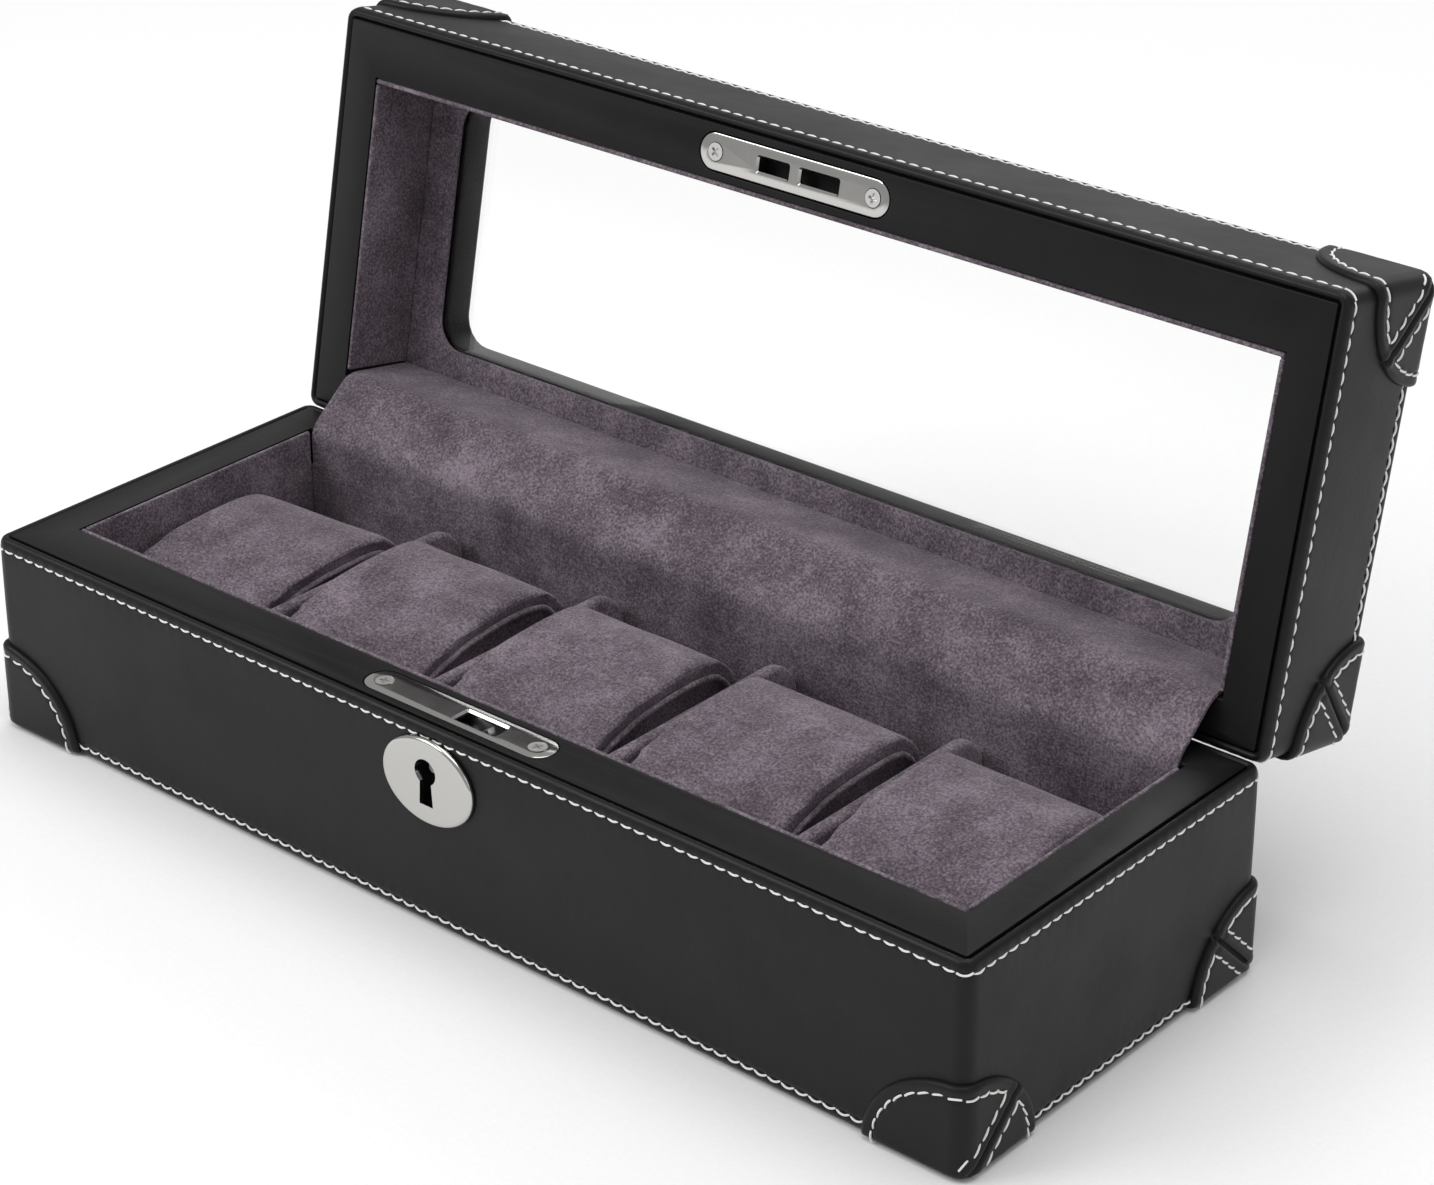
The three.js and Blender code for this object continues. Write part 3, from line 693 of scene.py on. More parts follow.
round_profile = add_node(
    stitching, "GeometryNodeCurvePrimitiveCircle", {"Resolution": 6, "Radius": radius}
)
tube = add_node(
    stitching,
    "GeometryNodeCurveToMesh",
    {
        "Curve": strand.outputs[0],
        "Profile Curve": round_profile.outputs[0],
        "Fill Caps": True,
    },
)
# Each stitch wanders a little from the common slant, by up to 0.05 radians
wander_limits = {2: -0.05, 3: 0.05, "Seed": given["Seed"]}
wander = add_node(
    stitching, "FunctionNodeRandomValue", wander_limits, data_type="FLOAT"
).outputs[1]
tilt = add_node(stitching, "ShaderNodeMath", {0: given["Slant"], 1: wander}, operation="ADD")
slant = add_node(
    stitching, "FunctionNodeAxisAngleToRotation", {"Axis": (0, 0, 1), "Angle": tilt.outputs[0]}
)
end_tree(stitching, given, tube.outputs[0], slant.outputs[0])
thread_width = 0.58 * mm


def sew(name, stitches, length, slant_degrees, bow, seed):
    """Stitches at (place, outward, along), as one plain mesh."""
    return run_tree(
        name,
        stitches,
        stitching,
        stitch_inputs,
        Length=length,
        Width=thread_width,
        Slant=math.radians(slant_degrees),
        Bow=bow,
        Seed=seed,
        Material=thread,
    )


def turn_rows(rows, turn):
    """Places with their directions, turned as the lid is."""
    return [(turn @ at, turn.to_3x3() @ out, turn.to_3x3() @ along) for at, out, along in rows]


stitch_sunk = 0.18 * mm  # into the groove


def lines_of_stitches(lines):
    found = []
    for z in lines:
        for i in range(stitch_count):
            stop = loop_stop(loop_length * (i + 0.5) / stitch_count)
            half_x, half_y, radius, _ = wall_ring(stitch_sunk, z)
            at, out = loop_point(stop, half_x, half_y, radius)
            found.append((Vector((*at, z)), Vector((*out, 0)), Vector((-out.y, out.x, 0))))
    return found


stitch_length = 3.7 * mm
stitch_slant = 4  # degrees
base_stitches = lines_of_stitches(base_lines)
lid_stitches = turn_rows(lines_of_stitches(lid_lines), open_lid)
for body, stitches, bow, seed in (
    ("base", base_stitches, -1.1 * mm, 1),
    ("lid", lid_stitches, 0.8 * mm, 2),
):
    name = f"{body}_wrap_stitching"
    fix_on(sew(name, stitches, stitch_length, stitch_slant, bow, seed), body, "leather")

# ---------------------------------------------------------------- corner patches
# A single leather patch wraps each outer corner of both trays, on three faces. It is folded to
# shape with one sewn dart on the end face, its edge is rolled, and it is stitched down along its
# arc.

patch_thickness = 1.3 * mm
patch_rounding = Vector((2.8, 2.8, 1.8)) * mm
patch_stretch = Vector((1.075, 1, 0.96))  # a patch reaches further along the front than up it
patch_seam = 22.3 * mm  # corner to the line of stitches
dart_side = 3.3 * mm  # dart to the stitches along it
patch_lining = 0.05 * mm  # the patch's inside, off the face below it
base_press = 0.35 * mm  # how much deeper the stitches lie under the base
patch_reaches = [1 * mm * i for i in range(21)]
patch_reaches += [patch_seam + 0.4 * mm * i for i in range(-4, 5)]
patch_reaches += [x * mm for x in (23.2, 23.8, 24.2, 24.5, 24.75, 25, 25.2, 25.35, 25.45, 25.5)]
end_face, front_face, cap_face = 0, 1, 2


def patch_height(face, reach, angle):
    """How far a patch's outside stands off the face below it."""
    inside = min((patch_radius - reach) / patch_thickness, 1)
    height = fit + patch_thickness * math.sqrt(max(1 - (1 - inside) ** 2, 0))
    sink = math.exp(-(((reach - patch_seam) / (0.8 * mm)) ** 2))
    height -= (0.22 - 0.08 * math.cos(angle * 32)) * mm * sink
    if face == end_face:
        aside = abs(reach * math.sin(angle - math.pi / 4))
        open_here = min(reach / (5 * mm), 1)
        height -= 0.95 * mm * math.exp(-((aside / (0.5 * mm)) ** 2)) * open_here
        height += 0.3 * mm * math.exp(-(((aside - 1.5 * mm) / (0.9 * mm)) ** 2)) * open_here
    return height


def patch_place(corner, face, reach, angle, height):
    """A place on the patch, round the corner's edges, from its reach and angle on one face."""
    side_x, side_y, corner_z, up, cap_drop = corner
    first, second = [axis for axis in range(3) if axis != face]
    flat = Vector((0, 0, 0))
    flat[first] = reach * math.cos(angle)
    flat[second] = reach * math.sin(angle)
    stretch = patch_stretch.copy()
    if face == cap_face and cap_drop:  # the leaf under the base keeps clear of the felt
        stretch.x = 1 + (stretch.x - 1) * math.exp(-((angle / 0.09) ** 2))
    flat = Vector([f * s for f, s in zip(flat, stretch)])
    centre = Vector([max(f, r) for f, r in zip(flat, patch_rounding)])
    away = Vector([(f - c) / r for f, c, r in zip(flat, centre, patch_rounding)]).normalized()
    heights = (height, height, height - cap_drop)
    inward = [c + a * (r + h) for c, a, r, h in zip(centre, away, patch_rounding, heights)]
    return Vector((
        side_x * (half_length - inward[0]),
        side_y * (half_depth - inward[1]),
        corner_z + up * inward[2],
    ))


def patch_mesh(name, corner):
    steps = 24
    turns = [i / steps for i in range(-steps, steps + 1)]
    angles = [math.pi / 4 * (1 + math.copysign(abs(turn) ** 1.5, turn)) for turn in turns]
    sheets = [
        (patch_reaches, patch_height),
        ([0, 8 * mm, 16 * mm, patch_radius], lambda face, reach, angle: patch_lining),
    ]
    points, faces, rims = [], [], []
    across = len(angles)
    for face in (end_face, front_face, cap_face):
        for reaches, height in sheets:
            first = len(points)
            for reach in reaches:
                for angle in angles:
                    at = patch_place(corner, face, reach, angle, height(face, reach, angle))
                    points.append(at)
            faces += faces_between(len(reaches), across, first, round_across=False)
            rims.append(first + (len(reaches) - 1) * across)
        for j in range(across - 1):
            faces.append((rims[-2] + j, rims[-2] + j + 1, rims[-1] + j + 1, rims[-1] + j))
    return outward(new_mesh(name, points, faces))


def patch_stitches(corner):
    """Stitches along the arc on all three faces, and on both sides of the dart."""
    spots = []
    turn = math.asin(dart_side / patch_seam)  # where the arc meets the line beside the dart
    half = math.pi / 4 - turn
    arcs = [(end_face, 0, half, 4), (end_face, math.pi / 2 - half, math.pi / 2, 4)]
    arcs += [(face, 0, math.pi / 2, 9) for face in (front_face, cap_face)]
    for face, start, end, count in arcs:
        for i in range(count):
            angle = start + (end - start) * (i + 0.5) / count
            spots.append((face, patch_seam, angle, patch_seam, angle + 0.02))
    first, last, count = 1.4 * mm, patch_seam * math.cos(turn), 5
    for aside in (-dart_side, dart_side):
        for i in range(count):
            along = first + (last - first) * (i + 0.5) / count
            ahead = along + 0.5 * mm
            spots.append((
                end_face,
                math.hypot(along, aside),
                math.pi / 4 + math.atan2(aside, along),
                math.hypot(ahead, aside),
                math.pi / 4 + math.atan2(aside, ahead),
            ))
    found = []
    for face, reach, angle, next_reach, next_angle in spots:
        height = patch_height(face, reach, angle)
        at = patch_place(corner, face, reach, angle, height)
        out = (patch_place(corner, face, reach, angle, height + mm) - at).normalized()
        along = patch_place(corner, face, next_reach, next_angle, height) - at
        if face == cap_face and corner[-1]:  # pressed flat under the base
            at -= out * base_press
        found.append((at, out, (along - along.dot(out) * out).normalized()))
    return found


leaf_drop = fit + patch_thickness  # the base patches' lower leaf lies flush with the underside
trays = {"base": (base_low.z, 1, leaf_drop), "lid": (lid_high.z, -1, 0)}
for body, (corner_z, up, cap_drop) in trays.items():
    stitches = []
    turn = open_lid if body == "lid" else Matrix.Identity(4)
    for corner_name, side_x, side_y in (
        ("front_left", -1, -1),
        ("front_right", 1, -1),
        ("back_left", -1, 1),
        ("back_right", 1, 1),
    ):
        corner = (side_x, side_y, corner_z, up, cap_drop)
        mesh = patch_mesh(f"{body}_corner_{corner_name}", corner)
        mesh.transform(turn)
        patch = place_piece(mesh.name, mesh, leather, 60)
        fix_on(patch, body, "leather", f"{body}_patch_{corner_name}")
        stitches += turn_rows(patch_stitches(corner), turn)
    sewing = sew(f"{body}_corner_stitching", stitches, 3.2 * mm, 8, 0.4 * mm, 3)
    fix_on(sewing, body, "leather")

# ---------------------------------------------------------------- rim frames
# A flat frame of leather on card fills each rim inside the folded edge, cut out for the lock's
# plate and the hinges. Its edges are pared and eased.


def ease_edges(names, width, steps):
    """Softens the sharp edges of CAD nodes that stay."""
    for name in names:
        node = frame["nodes"][name]
        node.data.polygons.foreach_set("use_smooth", [True] * len(node.data.polygons))
        weld = node.modifiers.new("weld", "WELD")
        weld.merge_threshold = 1e-6
        flat = node.modifiers.new("flat", "DECIMATE")
        flat.decimate_type = "DISSOLVE"
        flat.angle_limit = math.radians(1)
        eased = node.modifiers.new("eased", "BEVEL")
        eased.width = width
        eased.segments = steps
        eased.limit_method = "ANGLE"
        eased.angle_limit = math.radians(50)
        eased.harden_normals = True


finish_nodes(["base_rim", "lid_rim"], leather)
ease_edges(["base_rim", "lid_rim"], 0.35 * mm, 3)

# ---------------------------------------------------------------- linings
# Card panels wrapped in short-pile velvet line both trays. The pile turns over each panel's top
# edge, where it catches the light. A velvet frame surrounds the window.


def start_velvet(name, dark, middle, light):
    """Short dense pile: soft patches where it was brushed, fine pile dots, and a pale sheen."""
    made, tree, shader, place = start_material(
        name,
        Roughness=0.92,
        Sheen_Weight=0.45,
        Sheen_Roughness=0.42,
        Sheen_Tint=colour("#cfc6cd"),
    )
    shader.inputs["Specular IOR Level"].default_value = 0.15
    # Faint brushed patches 15 mm across, streaks 4 mm long, and pile tufts drawn 0.7 mm across
    patches = add_node(tree, "ShaderNodeTexNoise", {"Vector": place, "Scale": 62, "Detail": 4})
    streaks = add_node(
        tree, "ShaderNodeTexNoise", {"Vector": place, "Scale": 260, "Detail": 4, "Roughness": 0.65}
    )
    tufts = add_node(tree, "ShaderNodeTexNoise", {"Vector": place, "Scale": 1500, "Detail": 4})
    nap = add_node(
        tree,
        "ShaderNodeMath",
        {0: streaks.outputs["Fac"], 1: 0.5, 2: patches.outputs["Fac"]},
        operation="MULTIPLY_ADD",
    )
    lie = add_node(
        tree,
        "ShaderNodeMath",
        {0: tufts.outputs["Fac"], 1: 1.7, 2: nap.outputs[0]},
        operation="MULTIPLY_ADD",
    )
    shade = add_node(tree, "ShaderNodeMath", {0: lie.outputs[0], 1: 0.41}, operation="MULTIPLY")
    ramp = add_node(tree, "ShaderNodeValToRGB", {"Fac": shade.outputs[0]})
    ramp.color_ramp.elements[0].position = 0.5
    ramp.color_ramp.elements[0].color = colour(dark)
    ramp.color_ramp.elements[1].position = 0.8
    ramp.color_ramp.elements[1].color = colour(light)
    ramp.color_ramp.elements.new(0.65).color = colour(middle)
    pile = add_node(
        tree,
        "ShaderNodeBump",
        {"Height": tufts.outputs["Fac"], "Strength": 0.9, "Distance": 0.3 * mm},
    )
    brushed = add_node(
        tree,
        "ShaderNodeBump",
        {
            "Height": streaks.outputs["Fac"],
            "Strength": 0.35,
            "Distance": 0.6 * mm,
            "Normal": pile.outputs["Normal"],
        },
    )
    feed(shader, Base_Color=ramp.outputs["Color"], Normal=brushed.outputs["Normal"])
    return made


velvet = start_velvet("grey-violet velvet", "#463e45", "#665c65", "#8b8089")


def eased_block(name, low, high, edge):
    """A slab with its edges rounded over."""
    mesh = block(low, high)
    work = bmesh.new()
    work.from_mesh(mesh)
    bmesh.ops.bevel(
        work,
        geom=work.edges[:],
        offset=edge,
        segments=4,
        profile=0.5,
        affect="EDGES",
        clamp_overlap=True,
    )
    mesh.name = name
    work.to_mesh(mesh)
    work.free()
    return outward(mesh)


pile_edge = 0.55 * mm
flap_seat_edge = 0.12 * mm  # the back lining's, where the flap carries on above it
linings = [("base", side) for side in ("front", "back", "left", "right", "floor")]
linings += [("lid", side) for side in ("front", "left", "right")]
for body, side in linings:
    node = f"{body}_lining_{side}"
    low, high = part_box(node) if body == "base" else closed_box(node)
    edge = flap_seat_edge if side == "back" else pile_edge
    mesh = eased_block(f"{body}_velvet_{side}", low, high, edge)
    if body == "lid":
        mesh.transform(open_lid)
    fix_on(place_piece(mesh.name, mesh, velvet), body, "velvet", node)

frame_low, frame_high = closed_box("lid_lining_window")
frame_middle = (frame_low.y + frame_high.y) / 2
frame_half_x, frame_half_y = frame_high.x, (frame_high.y - frame_low.y) / 2
frame_rings = [
    (frame_half_x, frame_half_y, 0.5 * mm, frame_high.z, frame_middle),
    (frame_half_x, frame_half_y, 0.5 * mm, frame_low.z + 0.3 * mm, frame_middle),
    (frame_half_x - 0.3 * mm, frame_half_y - 0.3 * mm, 0.5 * mm, frame_low.z, frame_middle),
]
frame_lip = (frame_high.z - frame_low.z) / 2
for i in range(9):
    a = math.pi * i / 8
    grown = frame_lip * (1 - math.sin(a))
    frame_rings.append((*window_ring(grown, frame_low.z + frame_lip * (1 - math.cos(a))), 0))
window_mesh = loop_mesh("window_velvet", frame_rings, [])
window_mesh.transform(open_lid)
fix_on(place_piece("window_velvet", window_mesh, velvet), "lid", "velvet", "lid_lining_window")

# ---------------------------------------------------------------- window glass
# The window is one pane of clear float glass, cut square. It is held without glue between the
# window frame's board and the velvet frame.

glass, tree, shader, place = start_material(
    "clear float glass", Roughness=0.0, IOR=1.52, Transmission_Weight=1.0
)
# The faint green of iron in the glass, and a film of dust that shows only in glancing light
dust = add_node(tree, "ShaderNodeTexNoise", {"Vector": place, "Scale": 30, "Detail": 6})
film = add_node(
    tree,
    "ShaderNodeMapRange",
    {"Value": dust.outputs["Fac"], "From Min": 0.4, "From Max": 0.8, "To Min": 0.0, "To Max": 0.04},
)
shader.inputs["Base Color"].default_value = colour("#fefffe")
feed(shader, Roughness=film.outputs["Result"])
finish_nodes(["window_glass"], glass)

# ---------------------------------------------------------------- dividers
# Four boards wrapped in velvet part the pillows, glued upright between the front and back linings.
# Each has a flat top and rounded upper ends.


def prism(name, outline, x0, x1, edge, steps):
    """An outline in Y and Z given thickness along X, with its side edges rounded over."""
    work = bmesh.new()
    near = [work.verts.new((x0, y, z)) for y, z in outline]
    far = [work.verts.new((x1, y, z)) for y, z in outline]
    work.faces.new(near)
    work.faces.new(far[::-1])
    for i in range(len(outline)):
        j = (i + 1) % len(outline)
        work.faces.new((near[j], near[i], far[i], far[j]))
    bmesh.ops.recalc_face_normals(work, faces=work.faces)
    rims = [e for e in work.edges if e.calc_face_angle() > math.radians(50)]
    bmesh.ops.bevel(
        work,
        geom=rims,
        offset=edge,
        segments=steps,
        profile=0.5,
        affect="EDGES",
        clamp_overlap=False,
    )
    return mesh_of(work, name)


def arc(centre_y, centre_z, radius, start, end, steps=14):
    found = []
    for i in range(steps + 1):
        a = math.radians(start + (end - start) * i / steps)
        found.append((centre_y + radius * math.cos(a), centre_z + radius * math.sin(a)))
    return found


divider_round = 10 * mm
for i in range(1, 5):
    low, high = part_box(f"divider_{i}")
    outline = [(low.y, low.z), (high.y, low.z)]
    outline += arc(high.y - divider_round, high.z - divider_round, divider_round, 0, 90)
    outline += arc(low.y + divider_round, high.z - divider_round, divider_round, 90, 180)
    mesh = prism(f"velvet_divider_{i}", outline, low.x, high.x, 1.5 * mm, 4)
    fix_on(place_piece(mesh.name, mesh, velvet), "base", "velvet", f"divider_{i}")

# ---------------------------------------------------------------- watch pillows
# Five foam pillows, each with a velvet crown strip that turns over both side edges and is sewn
# there, over a thin piping, to a sunken side panel. The crown is long and the back steep, as a
# watch's closed strap needs.

pillow_velvet = start_velvet("pillow velvet", "#443c43", "#645a63", "#877c85")
# Distance from the pillow's middle and height, in mm: up the front, over the crown, down the back
# and home along the bottom
pillow_side = [
    (-33.0, 13.5), (-33.4, 20), (-33.2, 28), (-32.0, 35.5), (-28.8, 41.4), (-24, 45.4),
    (-17.5, 48.0), (-10.5, 50.1), (-3, 51.5), (4.5, 52.3), (11.5, 52.6), (17.5, 52.3), (22.5, 51),
    (26.8, 48.4), (30, 44.2), (32, 38), (33.1, 30), (33.3, 20), (32.8, 13.5), (31, 10), (27, 8.8),
    (14, 8.7), (0, 8.7), (-14, 8.7), (-27, 8.8), (-31.2, 10),
]
piping_radius = 0.75 * mm
piping_drop = 3.9 * mm  # crown to the piping, down the side
piping_stand = 0.45 * mm  # the piping's outside to the compartment's wall
sight_inset = 2.8 * mm  # how far in from the side the skin's height is taken
panel_inset = 0.3 * mm  # room for the crown strip's edges
panel_dip = 1.9 * mm  # how far the side panels sit back inside the body's edge
dip_from, dip_over = 1.4 * mm, 1.6 * mm  # where the dip starts in from the edge, and its slope
side_skin = 1.2 * mm  # what lies this close to a side is its panel
pillow_edge = 1.3 * mm  # the rounding of its side edges
pillow_inset = 0.7 * mm  # the skin's start inside the outline, before it swells
swell_most = 1.3 * mm
lean_from, lean_height = 12 * mm, 40 * mm  # a pillow leans and sinks from here up to its crown
lump_height = 0.4 * mm
lumps_per_metre = 55


def smooth_loop(points, per_span):
    """A smooth closed line through points."""
    found = []
    count = len(points)
    for i in range(count):
        a, b, c, d = [Vector(points[(i + k) % count]) for k in (-1, 0, 1, 2)]
        for step in range(per_span):
            t = step / per_span
            found.append(0.5 * (
                2 * b + (c - a) * t + (2 * a - 5 * b + 4 * c - d) * t**2
                + (3 * b - 3 * c + d - a) * t**3
            ))
    return found


def loop_normals(points):
    """The outward direction at each point of a clockwise closed line."""
    found = []
    for i in range(len(points)):
        ahead = points[(i + 1) % len(points)] - points[i - 1]
        found.append(Vector((-ahead.y, ahead.x)).normalized())
    return found


def pillow_start(name, middle_y, x0, x1, smaller):
    """The pillow before it swells: its side outline carried across, with rounded side edges."""
    outline = smooth_loop([(y * mm, z * mm) for y, z in pillow_side], 4)
    normals = loop_normals(outline)
    edge = pillow_edge
    slices = []
    for i in range(5):
        a = math.pi / 2 * i / 4
        slices.append((x0 + edge * (1 - math.cos(a)), smaller + edge * (1 - math.sin(a))))
    slices += [(x0 + (x1 - x0) * i / 8, smaller) for i in range(1, 8)]
    slices += [(x0 + x1 - x, inset) for x, inset in reversed(slices[:5])]
    work = bmesh.new()
    loops = []
    for x, inset in slices:
        ring = [point - out * inset for point, out in zip(outline, normals)]
        loops.append([work.verts.new((x, middle_y + y, z)) for y, z in ring])
    for this, following in zip(loops, loops[1:]):
        for i in range(len(this)):
            j = (i + 1) % len(this)
            work.faces.new((this[i], this[j], following[j], following[i]))
    work.faces.new(loops[0][::-1])
    work.faces.new(loops[-1])
    bmesh.ops.recalc_face_normals(work, faces=work.faces)
    return mesh_of(work, name)


def swell(piece, x0, x1, cap):
    """Fills the pillow: its skin is blown up a little while the seams at its sides hold it."""
    remesh = piece.modifiers.new("remesh", "REMESH")
    remesh.mode = "VOXEL"
    remesh.voxel_size = 2.6 * mm
    settle(piece)
    start = [vertex.co.copy() for vertex in piece.data.vertices]
    held = piece.vertex_groups.new(name="seams")
    for index, co in enumerate(start):
        if co.z < 10.5 * mm or min(co.x - x0, x1 - co.x) < 0.9 * mm:
            held.add([index], 1, "REPLACE")
    cloth = piece.modifiers.new("cloth", "CLOTH")
    cloth.settings.quality = 5
    cloth.settings.mass = 0.2
    cloth.settings.tension_stiffness = 18
    cloth.settings.compression_stiffness = 18
    cloth.settings.use_pressure = True
    cloth.settings.uniform_pressure_force = 4
    cloth.settings.effector_weights.gravity = 0
    cloth.settings.vertex_group_mass = "seams"
    for step in range(1, 21):
        bpy.context.scene.frame_set(step)
    settle(piece)
    bpy.context.scene.frame_set(1)
    for vertex, before in zip(piece.data.vertices, start):
        moved = vertex.co - before
        if moved.length > cap:
            vertex.co = before + moved.normalized() * cap


def tube_mesh(name, path, radius, sides=8):
    """A closed round cord along a closed path of (place, outward)."""
    points = []
    for i, (at, out) in enumerate(path):
        along = (path[(i + 1) % len(path)][0] - path[i - 1][0]).normalized()
        across = along.cross(out).normalized()
        up = across.cross(along)
        for k in range(sides):
            a = 2 * math.pi * k / sides
            points.append(at + radius * (math.cos(a) * across + math.sin(a) * up))
    return outward(new_mesh(name, points, faces_between(len(path), sides, round_rows=True)))


# Each one's own set: how many mm its crown sits higher, how many its left and right sides lean
# back, and how full it is
pillow_moods = [
    (-3.3, -3.2, 0.2, 1.0),
    (0.0, 0.0, 0.5, 1.15),
    (0.2, -0.4, 0.4, 0.9),
    (-0.3, 0.3, 0.5, 1.1),
    (0.1, 0.2, -0.2, 1.0),
]
for number, (higher, lean_left, lean_right, full) in enumerate(pillow_moods, 1):
    low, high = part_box(f"pillow_{number}")
    middle_y = (low.y + high.y) / 2
    x0, x1 = low.x + panel_inset, high.x - panel_inset
    mesh = pillow_start(f"velvet_pillow_{number}", middle_y, x0, x1, pillow_inset)
    pillow = place_piece(mesh.name, mesh, pillow_velvet)
    swell(pillow, x0, x1, swell_most * full)
    outline = smooth_loop([(y * mm, z * mm) for y, z in pillow_side], 6)
    normals = loop_normals(outline)
    outline = [Vector((middle_y + y, z)) for y, z in outline]
    border = KDTree(len(outline))
    for i, point in enumerate(outline):
        border.insert((0, *point), i)
    border.balance()
    for vertex in pillow.data.vertices:
        left_side = vertex.co.x - x0 < side_skin
        if left_side or x1 - vertex.co.x < side_skin:
            depth = border.find((0, vertex.co.y, vertex.co.z))[2]
            dip = panel_dip * min(max((depth - dip_from) / dip_over, 0), 1)
            vertex.co.x += dip if left_side else -dip
        across = (vertex.co.x - low.x) / (high.x - low.x)
        height = max(vertex.co.z - lean_from, 0) / lean_height
        lean = (lean_left + (lean_right - lean_left) * across) * height
        own_lumps = Vector((number * 3.7, 0, 0))
        lump = noise.noise(vertex.co * lumps_per_metre + own_lumps) * lump_height
        vertex.co += Vector((0, lean * mm, higher * height * mm)) + vertex.normal * lump
    finer = pillow.modifiers.new("finer", "SUBSURF")
    finer.levels = finer.render_levels = 1
    settle(pillow)
    skin = BVHTree.FromObject(pillow, bpy.context.evaluated_depsgraph_get())
    fix_on(pillow, f"pillow_{number}", "pillow_velvet", f"pillow_{number}")
    for side, face, out in (("left", low.x, -1), ("right", high.x, 1)):
        # The piping sewn into the crease below the strip's edge
        path = []
        for point, away in zip(outline, normals):
            inner = point - away * piping_drop
            if min((inner - other).length for other in outline) < piping_drop * 0.97:
                continue  # the line would double back round a tight corner
            start = point + away * 8 * mm
            sight = Vector((0, -away.x, -away.y))
            ray_x = face - out * sight_inset
            hit = skin.ray_cast(Vector((ray_x, start.x, start.y)), sight)[0]
            if hit is None:
                continue
            centre = hit + sight * piping_drop
            centre.x = face - out * (piping_radius + piping_stand)
            path.append((centre, Vector((out, 0, 0))))
        name = f"pillow_{number}_piping_{side}"
        cord = place_piece(name, tube_mesh(name, path, piping_radius, 10), pillow_velvet)
        fix_on(cord, f"pillow_{number}", "pillow_velvet")

# ---------------------------------------------------------------- hinge flap
# One piece of velvet bridges the gap behind the pillows and hides the hinges. It is glued inside
# the base's back wall and along the lid's back wall, and folds where the lid turns.

flap_low, flap_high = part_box("hinge_flap")
flap_thickness = 1 * mm
lap = 0.06 * mm  # the flap's foot stands this far proud of the lining it is glued over
flap_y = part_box("base_lining_back")[0].y - lap + flap_thickness / 2
flap_turns = [
    Vector((0, flap_y, flap_low.z - 2.8 * mm)),
    Vector((0, flap_y, base_high.z + 0.5 * mm)),
    open_lid @ Vector((0, flap_y, lid_low.z - 0.5 * mm)),
    open_lid @ Vector((0, flap_y, frame_low.z - 0.3 * mm)),
]


def eased_line(turns, rounding, spacing):
    """Points along straight runs with their turns rounded off."""
    found = [turns[0]]
    for before, turn, after in zip(turns, turns[1:], turns[2:]):
        start = turn + (before - turn).normalized() * rounding
        end = turn + (after - turn).normalized() * rounding
        for i in range(9):
            t = i / 8
            found.append(start * (1 - t) ** 2 + turn * 2 * t * (1 - t) + end * t**2)
    found.append(turns[-1])
    line = []
    for a, b in zip(found, found[1:]):
        steps = max(round((b - a).length / spacing), 1)
        line += [a.lerp(b, i / steps) for i in range(steps)]
    return line + [found[-1]]


flap_line = eased_line(flap_turns, 3.5 * mm, 1.2 * mm)
flap_half = flap_high.x
flap_wave = 0.35 * mm  # soft unevenness between its glued edges
across = 190
points = []
for side in (-0.5, 0.5):
    for i, at in enumerate(flap_line):
        ahead = flap_line[min(i + 1, len(flap_line) - 1)] - flap_line[max(i - 1, 0)]
        out = Vector((0, -ahead.z, ahead.y)).normalized()
        free = math.sin(math.pi * i / (len(flap_line) - 1))
        for j in range(across + 1):
            x = flap_half * (2 * j / across - 1)
            wave = noise.noise(Vector((x * 28, at.y * 40, at.z * 40))) * flap_wave * free
            points.append(Vector((x, at.y, at.z)) + out * (side * flap_thickness + wave))
rows = len(flap_line)
other = rows * (across + 1)
faces = []
for first in (0, other):
    faces += faces_between(rows, across + 1, first, round_across=False)
border = list(range(across))
border += [i * (across + 1) + across for i in range(rows - 1)]
border += [(rows - 1) * (across + 1) + j for j in range(across, 0, -1)]
border += [i * (across + 1) for i in range(rows - 1, 0, -1)]
for a, b in zip(border, border[1:] + border[:1]):
    faces.append((a, b, b + other, a + other))
flap_mesh = outward(new_mesh("velvet_hinge_flap", points, faces))
flap = place_piece("velvet_hinge_flap", flap_mesh, velvet, 60)
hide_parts("hinge_flap")
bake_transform(flap)

# ---------------------------------------------------------------- hinges
# Two pressed-steel butt hinges join the rims under the flap, each a pair of leaves on one pin, let
# into the boards' edges.

steel, tree, shader, place = start_material("zinc-plated steel", Metallic=1.0)
shader.inputs["Base Color"].default_value = colour("#b4b5b6")
# Rolled sheet: faint streaks 0.4 mm apart along the length
streaked = add_node(tree, "ShaderNodeMapping", {"Vector": place, "Scale": (0.08, 1, 1)})
streaks = add_node(
    tree, "ShaderNodeTexNoise", {"Vector": streaked.outputs[0], "Scale": 2500, "Detail": 3}
)
rough = add_node(
    tree,
    "ShaderNodeMapRange",
    {"Value": streaks.outputs["Fac"], "To Min": 0.26, "To Max": 0.42},
)
relief = add_node(
    tree,
    "ShaderNodeBump",
    {"Height": streaks.outputs["Fac"], "Strength": 0.15, "Distance": 0.02 * mm},
)
feed(shader, Roughness=rough.outputs["Result"], Normal=relief.outputs["Normal"])
hinge_parts = ("base_leaf", "lid_leaf", "pin")
hinge_nodes = [f"hinge_{side}_{part}" for side in ("left", "right") for part in hinge_parts]
finish_nodes(hinge_nodes, steel)
ease_edges(hinge_nodes, 0.15 * mm, 2)

# ---------------------------------------------------------------- lock
# A nickel-plated cylinder lock is let into the front wall: a polished oval escutcheon outside, a
# face plate with the hook's slot in the base's rim, and a strike plate with two holes in the lid's.

